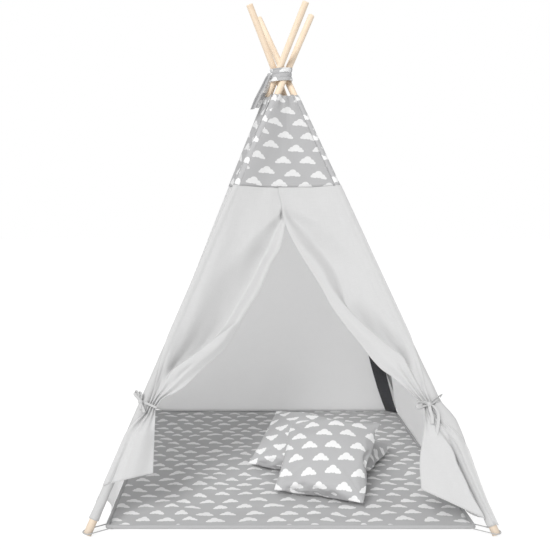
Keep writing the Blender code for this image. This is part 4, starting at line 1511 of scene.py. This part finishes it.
def mat_flat(across, down):
    """The print isn't ruled on the real mat, so it drifts in two sizes of noise."""
    x, y = mat_xy(across, down)
    drift = noise.noise_vector(Vector((x * 5, y * 6, 6.1))) * 0.020
    drift += noise.noise_vector(Vector((x * 17, y * 19, 2.7))) * 0.010
    return (x + drift.x + PRINT_X, y + drift.y + PRINT_Y)


print("height in the mat's middle", round(mat_height(0, 0), 4), "m")

# %% Padded mat
bm = cloth_grid(170, 170, mat_place, mat_flat)
uv = bm.loops.layers.uv["flat"]
rim = [edge for edge in bm.edges if edge.is_boundary]
wall = bmesh.ops.extrude_edge_only(bm, edges=rim)
lower = [item for item in wall["geom"] if isinstance(item, bmesh.types.BMVert)]
for point in lower:
    point.co.z = 0.0008
for item in wall["geom"]:
    if isinstance(item, bmesh.types.BMFace):
        for loop in item.loops:
            loop[uv].uv = (loop.vert.co.x + PRINT_X, loop.vert.co.y + loop.vert.co.z + PRINT_Y)
bmesh.ops.contextual_create(bm, geom=[edge for edge in bm.edges if edge.is_boundary])
bmesh.ops.recalc_face_normals(bm, faces=bm.faces)
mat_piece = piece_from(bm, "padded_mat", PRINT, math.radians(60))
stands_for(mat_piece, "floor", "printed_cotton", "mat")
print("mat triangles", sum(len(p.vertices) - 2 for p in mat_piece.data.polygons))

# %% [markdown]
# The binding is a strip folded over the edge. Its cross-section is a flattened round, swept round the square
# with rounded corners.

# %% Binding round the mat
def binding_line():
    """The binding's middle line round the mat, starting in the middle of the front."""
    inset = MAT_HALF - BORDER / 2
    corner_radius = 0.008
    straight = inset - corner_radius
    line = []
    for turn in range(4):
        angle = -math.pi / 2 + turn * math.pi / 2
        out, ahead = towards(angle), towards(angle + math.pi / 2)
        for along in steps(-straight, straight, 60)[:-1]:
            line.append((out * inset + ahead * along, out))
        for swing in steps(angle, angle + math.pi / 2, 8)[:-1]:
            line.append(((out + ahead) * straight + towards(swing) * corner_radius, towards(swing)))
    return line


BINDING = binding_line()


def binding_place(around, down):
    i = round(around * len(BINDING)) % len(BINDING)
    point, out = BINDING[i]
    angle = math.tau * down
    wander = 0.0005 * noise.noise(point * 16)
    middle = MAT_THICKNESS / 2
    height = middle + (middle + 0.0003 + wander) * math.sin(angle)
    return point + out * ((BORDER / 2 + wander) * math.cos(angle)) + UP * max(height, 0.0002)


bm = cloth_grid(len(BINDING), 14, binding_place, lambda a, d: (a * 4.4, d * 0.034 + 0.5), wrap=True)
binding = piece_from(bm, "mat_binding", BINDING_COTTON, math.radians(60))
stands_for(binding, "floor", "printed_cotton", "mat_border")
print("binding points", len(BINDING))

# %% [markdown]
# ## Corner loops
#
# Round elastic joins each corner of the mat to its pole. Both ends are sewn under the binding, so the loop
# leaves the mat level, rises a little and goes round the pole.

# %% Elastic loops
LOOP_RADIUS = 0.0016
LOOP_EASE = 0.0005


def loop_points(corner):
    diagonal = Vector((*CORNERS[corner], 0)).normalized()
    sideways = Vector((-diagonal.y, diagonal.x, 0))
    bend = POLE_RADIUS / along_pole(corner).z + LOOP_EASE + LOOP_RADIUS
    pole = pole_point(corner, 0.014)
    start = MAT_HALF * math.sqrt(2) - bend + LOOP_RADIUS + GAP - 0.004
    points = [diagonal * start + sideways * bend + UP * 0.006]
    for angle in steps(math.pi / 2, -math.pi / 2, 16):
        points.append(pole + diagonal * (bend * math.cos(angle)) + sideways * (bend * math.sin(angle)))
    points.append(diagonal * start - sideways * bend + UP * 0.006)
    return points


for corner in CORNERS:
    loop = edge_tube("elastic_" + corner, loop_points(corner), LOOP_RADIUS, ELASTIC)
    stands_for(loop, "floor", "elastic", "corner_loop_" + corner)
print("loops", len(CORNERS))

# %% [markdown]
# ## Cushions
#
# A cushion is two squares of cloth sewn together and filled. That is also the best way to make it: a thin
# closed pillow is inflated by the cloth simulation, which draws the sides in, leaves ears at the corners and
# wrinkles the seam just as filling does.

# %% Sewing a cushion
CUSHION = 0.280
CUSHION_CELLS = 44


def flat_pillow(size, thickness):
    """A closed pillow, nearly flat, with its UV map in metres on both faces."""
    bm = bmesh.new()
    bmesh.ops.create_cube(bm, size=2)
    level = [edge for edge in bm.edges if abs(edge.verts[0].co.z - edge.verts[1].co.z) < 1]
    bmesh.ops.subdivide_edges(bm, edges=level, cuts=CUSHION_CELLS - 1, use_grid_fill=True)
    uv = bm.loops.layers.uv.verify()
    for point in bm.verts:
        x, y = point.co.x, point.co.y
        edge = min(1 - abs(x), 1 - abs(y))
        lift = thickness * (0.3 + 0.7 * ease(edge * 4))
        point.co = Vector((x * size / 2, y * size / 2, math.copysign(lift, point.co.z)))
    for face in bm.faces:
        for loop in face.loops:
            loop[uv].uv = (loop.vert.co.x, loop.vert.co.y)
    return bm


print("pillow of", CUSHION, "m with", CUSHION_CELLS, "cells along each side")

# %% Filling a cushion
SIMULATION = {
    "quality": 6, "mass": 0.3,
    "tension_stiffness": 18, "compression_stiffness": 14, "shear_stiffness": 6, "bending_stiffness": 0.12,
    "tension_damping": 12, "compression_damping": 12,
    "use_pressure": True, "uniform_pressure_force": 2.6, "shrink_min": -0.01,
}
FRAMES = 24


def inflate(piece):
    """Blow the pillow up with the cloth simulation and keep the result as its mesh."""
    cloth = piece.modifiers.new("filling", "CLOTH")
    for key, value in SIMULATION.items():
        setattr(cloth.settings, key, value)
    cloth.settings.effector_weights.gravity = 0.0
    cloth.point_cache.frame_start = 1
    cloth.point_cache.frame_end = FRAMES
    scene = bpy.context.scene
    for step in range(1, FRAMES + 1):
        scene.frame_set(step)
    graph = bpy.context.evaluated_depsgraph_get()
    filled = bpy.data.meshes.new_from_object(piece.evaluated_get(graph))
    piece.modifiers.clear()
    piece.data = filled
    scene.frame_set(1)


print("filled in", FRAMES, "frames")

# %% [markdown]
# The simulation decides the form, but the size is known. So each filled pillow is scaled to its measured
# thickness and width, and then bent a little the way it lies: the flat one is pressed thin along one side,
# and corners that the photograph shows pulled out are pulled out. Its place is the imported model's.

# %% From a filled pillow to a cushion
EDGE_CUT = 0.06
PRESSED = 0.42
PRESSED_BELOW = 0.006


def fit_thickness(mesh, thickness):
    """Scale the filled pillow to its measured thickness, and back to its sewn width."""
    top = max(point.co.z for point in mesh.vertices)
    wide = max(abs(point.co.x) for point in mesh.vertices)
    for point in mesh.vertices:
        x, y = point.co.x / wide, point.co.y / wide
        point.co.z *= thickness / 2 / top
        point.co.x = CUSHION / 2 * x * (1 + EDGE_CUT * (1 - y * y))
        point.co.y = CUSHION / 2 * y * (1 + EDGE_CUT * (1 - x * x))


def print_cushion(mesh, shift_x, shift_y, turn):
    mesh.uv_layers[0].name = "flat"
    for loop in mesh.uv_layers[0].data:
        u, v = turn_flat(loop.uv.x * 1.16, loop.uv.y * 1.08, turn)
        loop.uv = (u + shift_x, v + shift_y)


def press_flat(mesh):
    """A cushion that lies flat is level below and swells upwards, least along its left side."""
    for point in mesh.vertices:
        share = min(max((point.co.x / (CUSHION / 2) + 1) / 2, 0), 1)
        swell = abs(point.co.z) * mix(PRESSED, 1, share)
        under = min(swell, PRESSED_BELOW)
        point.co.z = swell + swell - under if point.co.z > 0 else -under


def pull_corner(mesh, corner, pull):
    for point in mesh.vertices:
        weight = max((0.5 + corner[0] * point.co.x / CUSHION) * (0.5 + corner[1] * point.co.y / CUSHION), 0)
        point.co += Vector((pull[0], pull[1], pull[2] * weight)) * weight


print("pressed side at", PRESSED, "of its height")

# %% [markdown]
# Two cushions lean back on each other and the third lies flat behind them. Each has its turn, its lean, its
# thickness and where its print starts in one row of a table, with the pulls at its corners in another.

# %% Three cushions
CUSHIONS = {
    "right": {"yaw": -29.0, "lean": 0.0, "thick": 0.088, "print": (0.0, 0.0, -0.5)},
    "left": {"yaw": -26.0, "lean": 25.6, "thick": 0.092, "print": (0.02, 0.01, 2.85)},
    "front": {"yaw": -20.8, "lean": 31.5, "thick": 0.108, "print": (0.008, 0.012, -0.12)},
}
PULLS = {
    "front": {(-1, 1): (-0.030, -0.028, 0), (1, 1): (0.010, 0, 0), (1, -1): (0.004, -0.040, 0),
              (-1, -1): (-0.008, -0.042, 0)},
    "right": {(1, 1): (0, 0, 0.030), (1, -1): (0, 0, 0.030)},
}
NUDGES = {"front": Vector((0, -0.016, 0))}


def place_cushion(mesh, name, yaw, lean):
    """Turned as the solid is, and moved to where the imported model's own cushion ended up."""
    turned = Matrix.Rotation(math.radians(yaw), 4, "Z") @ Matrix.Rotation(math.radians(lean), 4, "X")
    mesh.transform(turned @ Matrix.Translation((0, CUSHION / 2, 0)))
    low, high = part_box("cushion_" + name)
    points = [point.co for point in mesh.vertices]
    mine_low = Vector([min(point[i] for point in points) for i in range(3)])
    mine_high = Vector([max(point[i] for point in points) for i in range(3)])
    shift = (low + high) / 2 - (mine_low + mine_high) / 2
    shift.z = low.z - mine_low.z
    mesh.transform(Matrix.Translation(shift + NUDGES.get(name, Vector())))


for name, facts in CUSHIONS.items():
    bm = flat_pillow(CUSHION * 0.985, 0.004)
    piece = piece_from(bm, "stuffed_cushion_" + name, PRINT, math.radians(80))
    inflate(piece)
    fit_thickness(piece.data, facts["thick"] * 0.97)
    print_cushion(piece.data, *facts["print"])
    if name == "right":
        press_flat(piece.data)
    for corner, pull in PULLS.get(name, {}).items():
        pull_corner(piece.data, corner, pull)
    place_cushion(piece.data, name, facts["yaw"], facts["lean"])
    finer = piece.modifiers.new("finer", "SUBSURF")
    finer.levels = 1
    finer.render_levels = 1
    stands_for(piece, "loose_cushion_" + name, "printed_cotton", "cushion_" + name)
print("cushions", len(CUSHIONS))

# %% [markdown]
# ## Floor, light and world
#
# The photograph is a cut-out on white. The floor is white and keeps a faint shadow. The camera sees a white
# world, while the world that lights the object is softer, and one broad lamp from the front, high up at the
# left, gives the folds their direction.

# %% Floor
def empty_tree(owner):
    owner.use_nodes = True
    owner.node_tree.nodes.clear()
    return owner.node_tree, node(owner.node_tree, "LightPath")


bm = bmesh.new()
bmesh.ops.create_grid(bm, x_segments=1, y_segments=1, size=12)
floor_material = bpy.data.materials.new("studio_floor")
tree, path = empty_tree(floor_material)
white = node(tree, "BsdfDiffuse", {"Color": (0.9, 0.9, 0.9, 1)})
glow = node(tree, "Emission", {"Color": (1, 1, 1, 1), "Strength": 1.12})
seen = node(tree, "MixShader", {0: 0.75, 1: white.outputs[0], 2: glow.outputs[0]})
from_camera = path.outputs["Is Camera Ray"]
by_camera = node(tree, "MixShader", {0: from_camera, 1: white.outputs[0], 2: seen.outputs[0]})
node(tree, "OutputMaterial", {"Surface": by_camera.outputs[0]})
studio_floor = piece_from(bm, "studio_floor", floor_material)
print("made", studio_floor.name)

# %% World and lamp
world = bpy.data.worlds.new("studio")
bpy.context.scene.world = world
tree, path = empty_tree(world)
seen = maths(tree, "MAXIMUM", path.outputs["Is Camera Ray"], path.outputs["Is Glossy Ray"])
seen = maths(tree, "MAXIMUM", seen, path.outputs["Is Transmission Ray"])
strength = maths(tree, "MULTIPLY_ADD", seen, 0.40, 0.60)
light = node(tree, "Background", {"Color": (1, 1, 1, 1), "Strength": strength})
node(tree, "OutputWorld", {"Surface": light.outputs[0]})

lamp_data = bpy.data.lights.new("broad_lamp", "SUN")
lamp_data.energy = 2.1
lamp_data.angle = math.radians(24)
lamp = bpy.data.objects.new("broad_lamp", lamp_data)
lamp.rotation_euler = Vector((0.42, 1.0, -0.80)).to_track_quat("-Z", "Y").to_euler()
bpy.context.scene.collection.objects.link(lamp)
bpy.context.scene.view_settings.view_transform = "Standard"
print("lamp strength", round(lamp_data.energy, 2))
